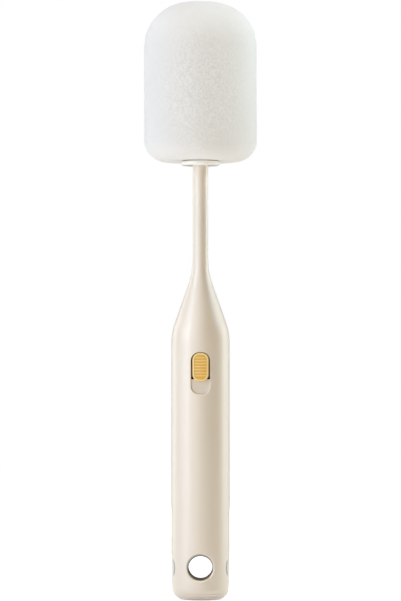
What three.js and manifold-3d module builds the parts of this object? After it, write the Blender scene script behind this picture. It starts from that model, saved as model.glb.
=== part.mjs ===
// Bottle brush with a foam sponge head that a slide button lets go of.
// Millimetres, +Z up. The origin is the middle of the base, and the button faces -Y.

import * as THREE from 'three';
import { mergeVertices } from 'three/addons/utils/BufferGeometryUtils.js';
import Module from 'manifold-3d';

const wasm = await Module();
wasm.setup();

// Grip, shoulder and stem, one moulding
const GRIP_RADIUS = 14.6;
const GRIP_WALL = 2.4;
const GRIP_TOP = 128.5;
const SHOULDER_ROUND = 30;
const SHOULDER_ANGLE_DEG = 19.5;
const NECK_ROUND = 40;
const STEM_RADIUS = 3.85;
const STEM_LENGTH = 46.45;
const SPIGOT_STEP = 0.95;
const SPIGOT_LENGTH = 12;

// Tail of the grip and its windows
const TAIL_TAPER = 0.45;
const TAIL_TAPER_LENGTH = 12;
const BASE_ROUND = 6;
const CAP_SEAM = 3;
const SEAM_GAP = 0.2;
const WINDOW_RADIUS = 6.6;
const WINDOW_ABOVE_SEAM = 6.6;
const HANG_HOLE_RADIUS = 6;
const HANG_HOLE_ROUND = 1.7;

// End cap
const SKIRT_WALL = 1.6;
const SKIRT_ABOVE_WINDOW = 1.6;
const CAP_FLOOR = 3.6;
const SKIRT_HOLE_STEP = 0.6;
const BOSS_GAP = 0.6;
const BOSS_RECESS = 0.25;

// Bulkhead above the open tail, and its ring seal
const BULKHEAD_HEIGHT = 4.4;
const BULKHEAD_DISH_RADIUS = 7;
const BULKHEAD_DISH_DEPTH = 2;
const SEAL_WIRE = 0.8;
const SEAL_SQUEEZE_GAP = 0.25;
const GROOVE_SIDE_GAP = 0.3;

// Button and the recess it slides in
const BUTTON_LENGTH = 14.1;
const BUTTON_TRAVEL = 6;
const BUTTON_GAP = 0.7;
const BUTTON_PROUD = 0.6;
const SLOT_WIDTH = 9.4;
const SLOT_CORNER = 4.1;
const SLOT_END_GAP = 0.55;
const SLOT_BELOW_SHOULDER = 4.65;
const RECESS_DEPTH = 1.7;
const PAD_DEPTH = 1.8;
const PAD_MARGIN = 2;
const FLOOR_OVERLAP = 1.1;
const BUTTON_RIM = 0.9;
const RIB_COUNT = 7;
const RIB_PITCH = 1.5;
const RIB_GROOVE = 0.75;
const RIB_DEPTH = 0.45;
const NECK_HALF_WIDTH = 2.8;
const NECK_HEIGHT = 5.2;
const NECK_SPLIT = 0.8;
const HOOK_STEP = 0.5;
const HOOK_DEPTH = 1.2;

// Carriage, shutter and channel
const SHUTTER_THICKNESS = 0.8;
const SHUTTER_HALF_WIDTH = 5.9;
const SHUTTER_COVER = 0.8;
const PLATE_THICKNESS = 2;
const PLATE_HALF_WIDTH = 5.6;
const PLATE_ABOVE_NECK = 2;
const HUB_RADIUS = 5;
const HUB_HEIGHT = 12;
const HUB_BELOW_NECK = 10.5;
const WEB_HALF_WIDTH = 2.5;
const GUIDE_HALF_DEPTH = 3;
const CHANNEL_HALF_WIDTH = 8;
const CHANNEL_BACK = 7;
const FRAME_FRONT = 6;
const FRAME_BASE = 3;
const FRAME_INTO_SHOULDER = 2;

// Rod, clip and return spring
const ROD_RADIUS = 1.5;
const ROD_GAP = 0.4;
const ROD_TAIL_ABOVE_SEAT = 2;
const COLLAR_RADIUS = 2.6;
const COLLAR_HEIGHT = 1.5;
const CLIP_RADIUS = 3;
const CLIP_THICKNESS = 1;
const CLIP_GROOVE_DEPTH = 0.45;
const SPRING_LENGTH = 18;
const SPRING_RADIUS = 4;
const SPRING_WIRE = 0.45;
const SPRING_TURNS = 7;
const SEAT_WALL = 3;

// Seat disc and post inside the sponge
const FLANGE_THICKNESS = 2.2;
const FLANGE_LIP = 2.05;
const FLANGE_ROUND = 0.7;
const POST_RADIUS = 7.4;
const POST_WALL = 0.8;
const ROD_SEAL_WIRE = 0.65;
const SCREW_RADIUS = 1.1;
const SCREW_ABOVE_FLANGE = 4;
const SCREW_SOCKET_RADIUS = 0.6;
const SCREW_SOCKET_DEPTH = 1.2;
const CAVITY_HALF_DEPTH = 3;
const CAVITY_FLOOR = 2.4;
const NOSE_LENGTH = 8;
const NOSE_SPIGOT = 2.2;

// Cam blade and barbs
const BLADE_HALF_THICKNESS = 0.8;
const BLADE_HUB_RADIUS = 2.4;
const BLADE_HUB_HEIGHT = 4.8;
const BLADE_EDGE = 0.75;
const BLADE_PIN_RADIUS = 0.5;
const CAM_PIN_RADIUS = 0.75;
const BARB_TRAVEL = 2.8;
const BARB_THICKNESS = 1.6;
const BARB_HEIGHT = 5;
const BARB_TOOTH = 2.6;
const BARB_TAIL = 1.1;

// Sponge
const SPONGE_RADIUS = 28.35;
const SPONGE_HEIGHT = 80.25;
const SPONGE_TOP_ROUND = 22.6;
const SPONGE_BOTTOM_ROUND = 11.2;
const SPONGE_DISH = 0.6;
const SPONGE_POCKET_ABOVE_NOSE = 1;

// Clearances
const FIT_GAP = 0.3;
const PIN_GAP = 0.2;
const OVERCUT = 1;

// Facets, and the length under which an edge that a cut leaves is closed up
const ROUND_SEGMENTS = 40;
const CROWN_SEGMENTS = 80;
const SMALL_SEGMENTS = 24;
const WINDOW_SEGMENTS = 28;
const HEX_SIDES = 6;
const ARC_STEPS = 3;
const CURL_STEPS = 8;
const WIRE_SIDES = 5;
const SEAL_SIDES = 8;
const LEAST_EDGE = 0.02;

// Levels along the brush, from the base up
const QUARTER = Math.PI / 2;
const SHOULDER_ANGLE = THREE.MathUtils.degToRad(SHOULDER_ANGLE_DEG);
const BORE_RADIUS = GRIP_RADIUS - GRIP_WALL;
const TAIL_RADIUS = GRIP_RADIUS - TAIL_TAPER;
const TAIL_TAPER_TOP = BASE_ROUND + TAIL_TAPER_LENGTH;
const SHELL_BOTTOM = CAP_SEAM + SEAM_GAP;
const WINDOW_Z = CAP_SEAM + WINDOW_ABOVE_SEAM + WINDOW_RADIUS;
const SKIRT_TOP = WINDOW_Z + WINDOW_RADIUS + SKIRT_ABOVE_WINDOW;
const BULKHEAD_BOTTOM = SKIRT_TOP + FIT_GAP;
const BULKHEAD_TOP = BULKHEAD_BOTTOM + BULKHEAD_HEIGHT;
const FRAME_BOTTOM = BULKHEAD_TOP + FIT_GAP;
const FRAME_TOP = GRIP_TOP + FRAME_INTO_SHOULDER;
const FRAME_RADIUS = BORE_RADIUS - FIT_GAP;

const SLOT_TOP = GRIP_TOP - SLOT_BELOW_SHOULDER;
const SLOT_BOTTOM = SLOT_TOP - BUTTON_GAP - BUTTON_LENGTH - BUTTON_TRAVEL - SLOT_END_GAP;
const BUTTON_TOP = SLOT_TOP - BUTTON_GAP;
const BUTTON_BOTTOM = BUTTON_TOP - BUTTON_LENGTH;
const BUTTON_HALF_WIDTH = SLOT_WIDTH / 2 - BUTTON_GAP;
const BUTTON_CORNER = SLOT_CORNER - BUTTON_GAP;
const OPENING_BOTTOM = BUTTON_BOTTOM + FLOOR_OVERLAP;
const NECK_BOTTOM = OPENING_BOTTOM + BUTTON_TRAVEL + FIT_GAP;
const NECK_TOP = NECK_BOTTOM + NECK_HEIGHT;
const HUB_BOTTOM = NECK_BOTTOM - HUB_BELOW_NECK;
const HUB_TOP = HUB_BOTTOM + HUB_HEIGHT;
const SHUTTER_TOP = SLOT_TOP + BUTTON_TRAVEL + SHUTTER_COVER;
const SHUTTER_BOTTOM = OPENING_BOTTOM - SHUTTER_COVER;
const SEAT_TOP = HUB_BOTTOM - SPRING_LENGTH - 2 * FIT_GAP;
const ROD_BOTTOM = SEAT_TOP + ROD_TAIL_ABOVE_SEAT;

// Depths behind the front of the grip, as y values
const RECESS_Y = -(GRIP_RADIUS - RECESS_DEPTH);
const PAD_Y = -(BORE_RADIUS - PAD_DEPTH);
const BUTTON_BACK_Y = RECESS_Y - FIT_GAP;
const SHUTTER_FRONT_Y = PAD_Y + FIT_GAP;
const SHUTTER_BACK_Y = SHUTTER_FRONT_Y + SHUTTER_THICKNESS;
const PLATE_FRONT_Y = SHUTTER_BACK_Y + FIT_GAP;
const PLATE_BACK_Y = PLATE_FRONT_Y + PLATE_THICKNESS;

// Shoulder and neck of the moulding
const CONE_SLOPE = Math.tan(SHOULDER_ANGLE);
const ARC_SAG = 1 - Math.cos(SHOULDER_ANGLE);
const SHOULDER_CENTRE = GRIP_RADIUS - SHOULDER_ROUND;
const SHOULDER_END_RADIUS = GRIP_RADIUS - SHOULDER_ROUND * ARC_SAG;
const SHOULDER_END = GRIP_TOP + SHOULDER_ROUND * Math.sin(SHOULDER_ANGLE);
const NECK_START_RADIUS = STEM_RADIUS + NECK_ROUND * ARC_SAG;
const NECK_START = SHOULDER_END + (SHOULDER_END_RADIUS - NECK_START_RADIUS) / CONE_SLOPE;
const NECK_END = NECK_START + NECK_ROUND * Math.sin(SHOULDER_ANGLE);
const STEM_TOP = NECK_END + STEM_LENGTH;
const STEM_BORE = ROD_RADIUS + ROD_GAP;
const SPIGOT_RADIUS = STEM_RADIUS - SPIGOT_STEP;
const SPIGOT_TOP = STEM_TOP + SPIGOT_LENGTH;

// Levels in the head
const FLANGE_TOP = STEM_TOP + FLANGE_THICKNESS;
const FLANGE_RADIUS = POST_RADIUS + FLANGE_LIP;
const SOCKET_RADIUS = SPIGOT_RADIUS + PIN_GAP;
const SOCKET_TOP = SPIGOT_TOP + 2 * (ROD_SEAL_WIRE + PIN_GAP);
const SCREW_Z = FLANGE_TOP + SCREW_ABOVE_FLANGE;
const CAVITY_BOTTOM = SOCKET_TOP + CAVITY_FLOOR;
const CAVITY_RADIUS = POST_RADIUS - POST_WALL;
const BLADE_HUB_BOTTOM = CAVITY_BOTTOM + BUTTON_TRAVEL + FIT_GAP;
const BLADE_HUB_TOP = BLADE_HUB_BOTTOM + BLADE_HUB_HEIGHT;
const BARB_BOTTOM = BLADE_HUB_TOP + FIT_GAP;
const BARB_PIN_Z = BARB_BOTTOM + BARB_HEIGHT / 2;
const BARB_TOP = BARB_BOTTOM + BARB_HEIGHT;
const BLADE_HALF_WIDTH = CAVITY_RADIUS - 2 * FIT_GAP;
const CAM_SLOT_RADIUS = CAM_PIN_RADIUS + PIN_GAP;
const BLADE_TOP = BARB_PIN_Z + BUTTON_TRAVEL + CAM_SLOT_RADIUS + BLADE_EDGE;
const PIN_OUT = BLADE_HALF_WIDTH - BLADE_EDGE - CAM_SLOT_RADIUS;
const PIN_IN = PIN_OUT - BARB_TRAVEL;
const BARB_TIP = POST_RADIUS + BARB_TOOTH;
const BARB_NEAR_Y = BLADE_HALF_THICKNESS + FIT_GAP;
const BARB_FAR_Y = BARB_NEAR_Y + BARB_THICKNESS;
const POST_TOP = BLADE_TOP + FIT_GAP + NOSE_SPIGOT;
const NOSE_SOCKET_RADIUS = CAVITY_RADIUS;
const NOSE_TOP = POST_TOP + NOSE_LENGTH;
const SPONGE_MOUTH = FLANGE_TOP + FIT_GAP;
const SPONGE_BOTTOM = SPONGE_MOUTH - SPONGE_DISH;
const SPONGE_TOP = SPONGE_BOTTOM + SPONGE_HEIGHT;

// Closed geometry to a solid that can be cut and joined.
function toSolid(geometry) {
  geometry.deleteAttribute('normal');
  geometry.deleteAttribute('uv');
  const merged = mergeVertices(geometry);
  const corners = merged.index.array;
  const triangles = [];
  for (let i = 0; i < corners.length; i += 3) {
    const [a, b, c] = corners.slice(i, i + 3);
    if (a !== b && b !== c && c !== a) {
      triangles.push(a, b, c);
    }
  }
  return new wasm.Manifold(
    new wasm.Mesh({
      numProp: 3,
      vertProperties: merged.attributes.position.array,
      triVerts: Uint32Array.from(triangles),
    }),
  );
}

function toGeometry(solid) {
  const { vertProperties, triVerts } = solid.simplify(LEAST_EDGE).getMesh();
  const geometry = new THREE.BufferGeometry();
  geometry.setAttribute('position', new THREE.BufferAttribute(vertProperties, 3));
  geometry.setIndex(new THREE.BufferAttribute(triVerts, 1));
  geometry.computeVertexNormals();
  return geometry;
}

// A profile of radius and height, turned about the brush's axis.
function turned(profile, segments = ROUND_SEGMENTS) {
  const lathe = new THREE.LatheGeometry(profile.getPoints(ARC_STEPS), segments);
  return toSolid(lathe.rotateX(QUARTER));
}

// An outline in x and z, made solid between two depths.
function plate(outline, frontY, backY) {
  const settings = { depth: backY - frontY, bevelEnabled: false, curveSegments: ARC_STEPS };
  const geometry = new THREE.ExtrudeGeometry(outline, settings);
  geometry.rotateX(QUARTER);
  geometry.translate(0, backY, 0);
  return toSolid(geometry);
}

// A box between low and high corners.
function block([x0, y0, z0], [x1, y1, z1]) {
  const geometry = new THREE.BoxGeometry(x1 - x0, y1 - y0, z1 - z0);
  geometry.translate((x0 + x1) / 2, (y0 + y1) / 2, (z0 + z1) / 2);
  return toSolid(geometry);
}

// A round bar along an axis, between two stations on it.
function bar(axis, radius, low, high, segments = SMALL_SEGMENTS) {
  const geometry = new THREE.CylinderGeometry(radius, radius, high - low, segments);
  geometry.translate(0, (low + high) / 2, 0);
  if (axis === 'z') {
    geometry.rotateX(QUARTER);
  }
  if (axis === 'x') {
    geometry.rotateZ(-QUARTER);
  }
  return toSolid(geometry);
}

// A rectangle in x and z with round corners.
function roundedOutline(halfWidth, low, high, corner) {
  const inset = halfWidth - corner;
  const outline = new THREE.Shape();
  outline.absarc(inset, low + corner, corner, -QUARTER, 0, false);
  outline.absarc(inset, high - corner, corner, 0, QUARTER, false);
  outline.absarc(-inset, high - corner, corner, QUARTER, Math.PI, false);
  outline.absarc(-inset, low + corner, corner, Math.PI, Math.PI + QUARTER, false);
  outline.closePath();
  return outline;
}

// Radius of the rounded base at a height below the end of its rounding.
function baseRadiusAt(z) {
  return TAIL_RADIUS - BASE_ROUND + Math.sqrt(BASE_ROUND ** 2 - (BASE_ROUND - z) ** 2);
}

// Angle on the base rounding at a height, measured from its centre.
function baseAngleAt(z) {
  return Math.asin((z - BASE_ROUND) / BASE_ROUND);
}

// Grip, shoulder and stem
function handleProfile() {
  const innerShoulder = SHOULDER_ROUND - GRIP_WALL;
  const coneEndRadius = SHOULDER_CENTRE + innerShoulder * Math.cos(SHOULDER_ANGLE);
  const coneEnd = GRIP_TOP + innerShoulder * Math.sin(SHOULDER_ANGLE);
  const boreStart = coneEnd + (coneEndRadius - STEM_BORE) / CONE_SLOPE;
  const neckCentre = STEM_RADIUS + NECK_ROUND;
  const profile = new THREE.Path();
  profile.moveTo(BORE_RADIUS, SHELL_BOTTOM);
  profile.lineTo(baseRadiusAt(SHELL_BOTTOM), SHELL_BOTTOM);
  profile.absarc(TAIL_RADIUS - BASE_ROUND, BASE_ROUND, BASE_ROUND, baseAngleAt(SHELL_BOTTOM), 0, false);
  profile.lineTo(GRIP_RADIUS, TAIL_TAPER_TOP);
  profile.absarc(SHOULDER_CENTRE, GRIP_TOP, SHOULDER_ROUND, 0, SHOULDER_ANGLE, false);
  profile.absarc(neckCentre, NECK_END, NECK_ROUND, Math.PI + SHOULDER_ANGLE, Math.PI, true);
  profile.lineTo(STEM_RADIUS, STEM_TOP);
  profile.lineTo(SPIGOT_RADIUS, STEM_TOP);
  profile.lineTo(SPIGOT_RADIUS, SPIGOT_TOP);
  profile.lineTo(STEM_BORE, SPIGOT_TOP);
  profile.lineTo(STEM_BORE, boreStart);
  profile.absarc(SHOULDER_CENTRE, GRIP_TOP, innerShoulder, SHOULDER_ANGLE, 0, true);
  profile.closePath();
  return profile;
}

function slotPad() {
  const low = SHUTTER_BOTTOM - BUTTON_TRAVEL - PAD_MARGIN;
  const high = SHUTTER_TOP + PAD_MARGIN;
  const reach = GRIP_RADIUS - GRIP_WALL / 2;
  const segment = block([-GRIP_RADIUS, -GRIP_RADIUS, low], [GRIP_RADIUS, PAD_Y, high]);
  return bar('z', reach, low, high, ROUND_SEGMENTS).intersect(segment);
}

function slotRecess() {
  const outline = roundedOutline(SLOT_WIDTH / 2, SLOT_BOTTOM, SLOT_TOP, SLOT_CORNER);
  const front = -GRIP_RADIUS - OVERCUT;
  const recess = plate(outline, front, RECESS_Y);
  const through = plate(outline, front, PAD_Y + OVERCUT);
  const open = block([-SLOT_WIDTH, front, OPENING_BOTTOM], [SLOT_WIDTH, 0, SLOT_TOP + OVERCUT]);
  return recess.add(through.intersect(open));
}

// Rings of points with equal counts, skinned one to the next and closed at both ends.
function lofted(rings) {
  const count = rings[0].length;
  const triangles = [];
  for (let i = 0; i < count; i += 1) {
    const j = (i + 1) % count;
    for (let k = 0; k + 1 < rings.length; k += 1) {
      const near = k * count;
      const far = near + count;
      triangles.push(near + i, far + i, near + j, near + j, far + i, far + j);
    }
  }
  const last = (rings.length - 1) * count;
  for (let i = 1; i + 1 < count; i += 1) {
    triangles.push(0, i, i + 1, last, last + i + 1, last + i);
  }
  const geometry = new THREE.BufferGeometry();
  geometry.setFromPoints(rings.flat());
  geometry.setIndex(triangles);
  return toSolid(geometry);
}

// The front hanging hole, whose rim rolls in from the round wall all the way about.
function hangHole() {
  const ring = (radius, depthAt) => {
    const points = [];
    for (let i = 0; i < WINDOW_SEGMENTS; i += 1) {
      const angle = (i / WINDOW_SEGMENTS) * 2 * Math.PI;
      const x = radius * Math.cos(angle);
      points.push(new THREE.Vector3(x, depthAt(x), WINDOW_Z + radius * Math.sin(angle)));
    }
    return points;
  };
  const rings = [ring(HANG_HOLE_RADIUS + HANG_HOLE_ROUND, () => -GRIP_RADIUS - OVERCUT)];
  for (let i = 0; i <= ARC_STEPS; i += 1) {
    const turn = (i / ARC_STEPS) * QUARTER;
    const wallRadius = GRIP_RADIUS - HANG_HOLE_ROUND * (1 - Math.cos(turn));
    const holeRadius = HANG_HOLE_RADIUS + HANG_HOLE_ROUND * (1 - Math.sin(turn));
    rings.push(ring(holeRadius, (x) => -Math.sqrt(wallRadius ** 2 - x ** 2)));
  }
  rings.push(ring(HANG_HOLE_RADIUS, () => 0));
  return lofted(rings);
}

function sideWindows() {
  const reach = GRIP_RADIUS + OVERCUT;
  return bar('x', WINDOW_RADIUS, -reach, reach, WINDOW_SEGMENTS).translate([0, 0, WINDOW_Z]);
}

function handleShell() {
  const front = hangHole();
  const back = front.rotate([0, 0, 180]);
  const moulding = turned(handleProfile()).add(slotPad()).subtract(slotRecess());
  return moulding.subtract(sideWindows()).subtract(front).subtract(back);
}

// Tail: end cap, bulkhead and its seal
function snapBosses() {
  const radius = WINDOW_RADIUS - BOSS_GAP;
  const reach = GRIP_RADIUS + OVERCUT;
  const across = bar('x', radius, -reach, reach, WINDOW_SEGMENTS).translate([0, 0, WINDOW_Z]);
  const face = new THREE.Path();
  face.moveTo(BORE_RADIUS - SKIRT_WALL, BASE_ROUND);
  face.lineTo(TAIL_RADIUS - BOSS_RECESS, BASE_ROUND);
  face.lineTo(GRIP_RADIUS - BOSS_RECESS, TAIL_TAPER_TOP);
  face.lineTo(GRIP_RADIUS - BOSS_RECESS, SKIRT_TOP);
  face.lineTo(BORE_RADIUS - SKIRT_WALL, SKIRT_TOP);
  face.closePath();
  return across.intersect(turned(face));
}

function endCap() {
  const skirtRadius = FRAME_RADIUS;
  const profile = new THREE.Path();
  profile.moveTo(0, 0);
  profile.lineTo(TAIL_RADIUS - BASE_ROUND, 0);
  profile.absarc(TAIL_RADIUS - BASE_ROUND, BASE_ROUND, BASE_ROUND, -QUARTER, baseAngleAt(CAP_SEAM), false);
  profile.lineTo(skirtRadius, CAP_SEAM);
  profile.lineTo(skirtRadius, SKIRT_TOP);
  profile.lineTo(skirtRadius - SKIRT_WALL, SKIRT_TOP);
  profile.lineTo(skirtRadius - SKIRT_WALL, CAP_FLOOR);
  profile.lineTo(0, CAP_FLOOR);
  profile.closePath();
  const reach = GRIP_RADIUS + OVERCUT;
  const holeRadius = HANG_HOLE_RADIUS + SKIRT_HOLE_STEP;
  const hole = bar('y', holeRadius, -reach, reach, WINDOW_SEGMENTS).translate([0, 0, WINDOW_Z]);
  return turned(profile).add(snapBosses()).subtract(hole);
}

const SEAL_RADIUS = BORE_RADIUS - SEAL_SQUEEZE_GAP - SEAL_WIRE;
const SEAL_Z = BULKHEAD_BOTTOM + BULKHEAD_HEIGHT / 2;

function tailBulkhead() {
  const grooveRadius = SEAL_RADIUS - SEAL_WIRE - SEAL_SQUEEZE_GAP;
  const grooveHalf = SEAL_WIRE + GROOVE_SIDE_GAP;
  const profile = new THREE.Path();
  profile.moveTo(0, BULKHEAD_BOTTOM + BULKHEAD_DISH_DEPTH);
  profile.lineTo(BULKHEAD_DISH_RADIUS, BULKHEAD_BOTTOM + BULKHEAD_DISH_DEPTH);
  profile.lineTo(BULKHEAD_DISH_RADIUS, BULKHEAD_BOTTOM);
  profile.lineTo(FRAME_RADIUS, BULKHEAD_BOTTOM);
  profile.lineTo(FRAME_RADIUS, SEAL_Z - grooveHalf);
  profile.lineTo(grooveRadius, SEAL_Z - grooveHalf);
  profile.lineTo(grooveRadius, SEAL_Z + grooveHalf);
  profile.lineTo(FRAME_RADIUS, SEAL_Z + grooveHalf);
  profile.lineTo(FRAME_RADIUS, BULKHEAD_TOP);
  profile.lineTo(0, BULKHEAD_TOP);
  profile.closePath();
  return turned(profile);
}

function ringSeal(radius, wire, z, segments) {
  const ring = new THREE.TorusGeometry(radius, wire, SEAL_SIDES, segments);
  return toSolid(ring.translate(0, 0, z));
}

// Button, shutter and carriage
function neckBlock(gap, frontY, backY) {
  return block(
    [-NECK_HALF_WIDTH - gap, frontY, NECK_BOTTOM - gap],
    [NECK_HALF_WIDTH + gap, backY, NECK_TOP + gap],
  );
}

function buttonRibs() {
  const fieldHalf = BUTTON_HALF_WIDTH - BUTTON_RIM;
  const fieldCorner = BUTTON_CORNER - BUTTON_RIM;
  const field = roundedOutline(fieldHalf, BUTTON_BOTTOM + BUTTON_RIM, BUTTON_TOP - BUTTON_RIM, fieldCorner);
  const front = -GRIP_RADIUS - BUTTON_PROUD;
  const crown = bar('z', GRIP_RADIUS + BUTTON_PROUD - RIB_DEPTH, BUTTON_BOTTOM, BUTTON_TOP, CROWN_SEGMENTS);
  const pocket = plate(field, front - OVERCUT, BUTTON_BACK_Y).subtract(crown);
  const grooves = [];
  for (let i = 0; i < RIB_COUNT; i += 1) {
    const z = BUTTON_TOP - BUTTON_RIM - RIB_GROOVE - i * RIB_PITCH;
    const low = [-BUTTON_HALF_WIDTH, front - OVERCUT, z - RIB_GROOVE / 2];
    const high = [BUTTON_HALF_WIDTH, BUTTON_BACK_Y, z + RIB_GROOVE / 2];
    grooves.push(block(low, high).intersect(pocket));
  }
  return wasm.Manifold.union(grooves);
}

function thumbButton() {
  const outline = roundedOutline(BUTTON_HALF_WIDTH, BUTTON_BOTTOM, BUTTON_TOP, BUTTON_CORNER);
  const crownRadius = GRIP_RADIUS + BUTTON_PROUD;
  const crown = bar('z', crownRadius, BUTTON_BOTTOM, BUTTON_TOP, CROWN_SEGMENTS);
  const cap = plate(outline, -crownRadius - OVERCUT, BUTTON_BACK_Y).intersect(crown);
  const hookFront = PLATE_BACK_Y + PIN_GAP;
  const neck = neckBlock(0, BUTTON_BACK_Y - FIT_GAP, hookFront);
  const hook = neckBlock(HOOK_STEP, hookFront, hookFront + HOOK_DEPTH);
  const split = block(
    [-NECK_SPLIT, PLATE_FRONT_Y, NECK_BOTTOM - OVERCUT],
    [NECK_SPLIT, hookFront + HOOK_DEPTH + OVERCUT, NECK_TOP + OVERCUT],
  );
  return cap.subtract(buttonRibs()).add(neck).add(hook).subtract(split);
}

function slotShutter() {
  const low = [-SHUTTER_HALF_WIDTH, SHUTTER_FRONT_Y, SHUTTER_BOTTOM];
  const high = [SHUTTER_HALF_WIDTH, SHUTTER_BACK_Y, SHUTTER_TOP];
  return block(low, high).subtract(neckBlock(PIN_GAP, SHUTTER_FRONT_Y - OVERCUT, SHUTTER_BACK_Y + OVERCUT));
}

function slideCarriage() {
  const facePlate = block(
    [-PLATE_HALF_WIDTH, PLATE_FRONT_Y, HUB_BOTTOM],
    [PLATE_HALF_WIDTH, PLATE_BACK_Y, NECK_TOP + PLATE_ABOVE_NECK],
  );
  const web = block(
    [-WEB_HALF_WIDTH, PLATE_BACK_Y - OVERCUT, HUB_BOTTOM],
    [WEB_HALF_WIDTH, 0, NECK_BOTTOM - HOOK_STEP - FIT_GAP],
  );
  const guideHalf = CHANNEL_HALF_WIDTH - FIT_GAP;
  const guide = block([-guideHalf, -GUIDE_HALF_DEPTH, HUB_BOTTOM], [guideHalf, GUIDE_HALF_DEPTH, HUB_TOP]);
  const hub = bar('z', HUB_RADIUS, HUB_BOTTOM, HUB_TOP);
  const rodHole = bar('z', ROD_RADIUS + PIN_GAP, HUB_BOTTOM - OVERCUT, HUB_TOP + OVERCUT);
  const neckHole = neckBlock(PIN_GAP, PLATE_FRONT_Y - OVERCUT, PLATE_BACK_Y + OVERCUT);
  return facePlate.add(web).add(guide).add(hub).subtract(rodHole).subtract(neckHole);
}

// Channel inside the grip
function slideFrame() {
  const seatBottom = SEAT_TOP - SEAT_WALL;
  const body = bar('z', FRAME_RADIUS, FRAME_BOTTOM, FRAME_TOP, ROUND_SEGMENTS);
  const baseTop = FRAME_BOTTOM + FRAME_BASE;
  const top = FRAME_TOP + OVERCUT;
  const front = block([-GRIP_RADIUS, -GRIP_RADIUS, baseTop], [GRIP_RADIUS, -FRAME_FRONT, top]);
  const lower = [-CHANNEL_HALF_WIDTH, -GRIP_RADIUS, baseTop];
  const upper = [-CHANNEL_HALF_WIDTH, -GRIP_RADIUS, SEAT_TOP];
  const lowerChannel = block(lower, [CHANNEL_HALF_WIDTH, CHANNEL_BACK, seatBottom]);
  const upperChannel = block(upper, [CHANNEL_HALF_WIDTH, CHANNEL_BACK, top]);
  const rodHole = bar('z', STEM_BORE, seatBottom - OVERCUT, SEAT_TOP + OVERCUT);
  return body.subtract(front).subtract(lowerChannel).subtract(upperChannel).subtract(rodHole);
}

// Rod, clip and spring
const CLIP_TOP = HUB_BOTTOM - FIT_GAP;
const CLIP_BOTTOM = CLIP_TOP - CLIP_THICKNESS;
const GROOVE_RADIUS = ROD_RADIUS - CLIP_GROOVE_DEPTH;
const ROD_TOP = BLADE_HUB_TOP - FIT_GAP;
const BLADE_PIN_Z = (BLADE_HUB_BOTTOM + BLADE_HUB_TOP) / 2;

function pullRod() {
  const collarBottom = HUB_TOP + FIT_GAP;
  const profile = new THREE.Path();
  profile.moveTo(0, ROD_BOTTOM);
  profile.lineTo(ROD_RADIUS, ROD_BOTTOM);
  profile.lineTo(ROD_RADIUS, CLIP_BOTTOM - PIN_GAP);
  profile.lineTo(GROOVE_RADIUS, CLIP_BOTTOM - PIN_GAP);
  profile.lineTo(GROOVE_RADIUS, CLIP_TOP + PIN_GAP);
  profile.lineTo(ROD_RADIUS, CLIP_TOP + PIN_GAP);
  profile.lineTo(ROD_RADIUS, collarBottom);
  profile.lineTo(COLLAR_RADIUS, collarBottom);
  profile.lineTo(COLLAR_RADIUS, collarBottom + COLLAR_HEIGHT);
  profile.lineTo(ROD_RADIUS, collarBottom + COLLAR_HEIGHT);
  profile.lineTo(ROD_RADIUS, ROD_TOP);
  profile.lineTo(0, ROD_TOP);
  profile.closePath();
  const pinHole = bar('x', BLADE_PIN_RADIUS + PIN_GAP / 2, -BLADE_HUB_RADIUS, BLADE_HUB_RADIUS);
  return turned(profile, SMALL_SEGMENTS).subtract(pinHole.translate([0, 0, BLADE_PIN_Z]));
}

function rodClip() {
  const ring = bar('z', CLIP_RADIUS, CLIP_BOTTOM, CLIP_TOP);
  const eye = bar('z', GROOVE_RADIUS + PIN_GAP, CLIP_BOTTOM - OVERCUT, CLIP_TOP + OVERCUT);
  const mouth = block(
    [-GROOVE_RADIUS, 0, CLIP_BOTTOM - OVERCUT],
    [GROOVE_RADIUS, CLIP_RADIUS + OVERCUT, CLIP_TOP + OVERCUT],
  );
  return ring.subtract(eye).subtract(mouth);
}

class Helix extends THREE.Curve {
  constructor(radius, turns, low, high) {
    super();
    Object.assign(this, { radius, turns, low, high });
  }

  getPoint(t, target = new THREE.Vector3()) {
    const angle = t * this.turns * 2 * Math.PI;
    const z = THREE.MathUtils.lerp(this.low, this.high, t);
    return target.set(this.radius * Math.cos(angle), this.radius * Math.sin(angle), z);
  }
}

// Least distance between wire surfaces on points at least half a turn apart.
function leastGap(curve, turns, wire) {
  const perTurn = CURL_STEPS * ARC_STEPS;
  const points = curve.getPoints(turns * perTurn);
  let least = Infinity;
  for (let i = 0; i < points.length; i += 1) {
    for (let j = i + perTurn / 2; j < points.length; j += 1) {
      least = Math.min(least, points[i].distanceTo(points[j]) - 2 * wire);
    }
  }
  return least;
}

function returnSpring() {
  const low = SEAT_TOP + FIT_GAP + SPRING_WIRE;
  const high = HUB_BOTTOM - FIT_GAP - SPRING_WIRE;
  const curve = new Helix(SPRING_RADIUS, SPRING_TURNS, low, high);
  const gap = leastGap(curve, SPRING_TURNS, SPRING_WIRE);
  console.log(`return_spring: least gap to itself ${gap.toFixed(2)} mm`);
  const section = new THREE.Shape();
  section.absarc(0, 0, SPRING_WIRE, 0, 2 * Math.PI, false);
  const wire = new THREE.Shape(section.getSpacedPoints(WIRE_SIDES).slice(0, WIRE_SIDES));
  const settings = { steps: SPRING_TURNS * CURL_STEPS, extrudePath: curve, bevelEnabled: false };
  return toSolid(new THREE.ExtrudeGeometry(wire, settings));
}

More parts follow.
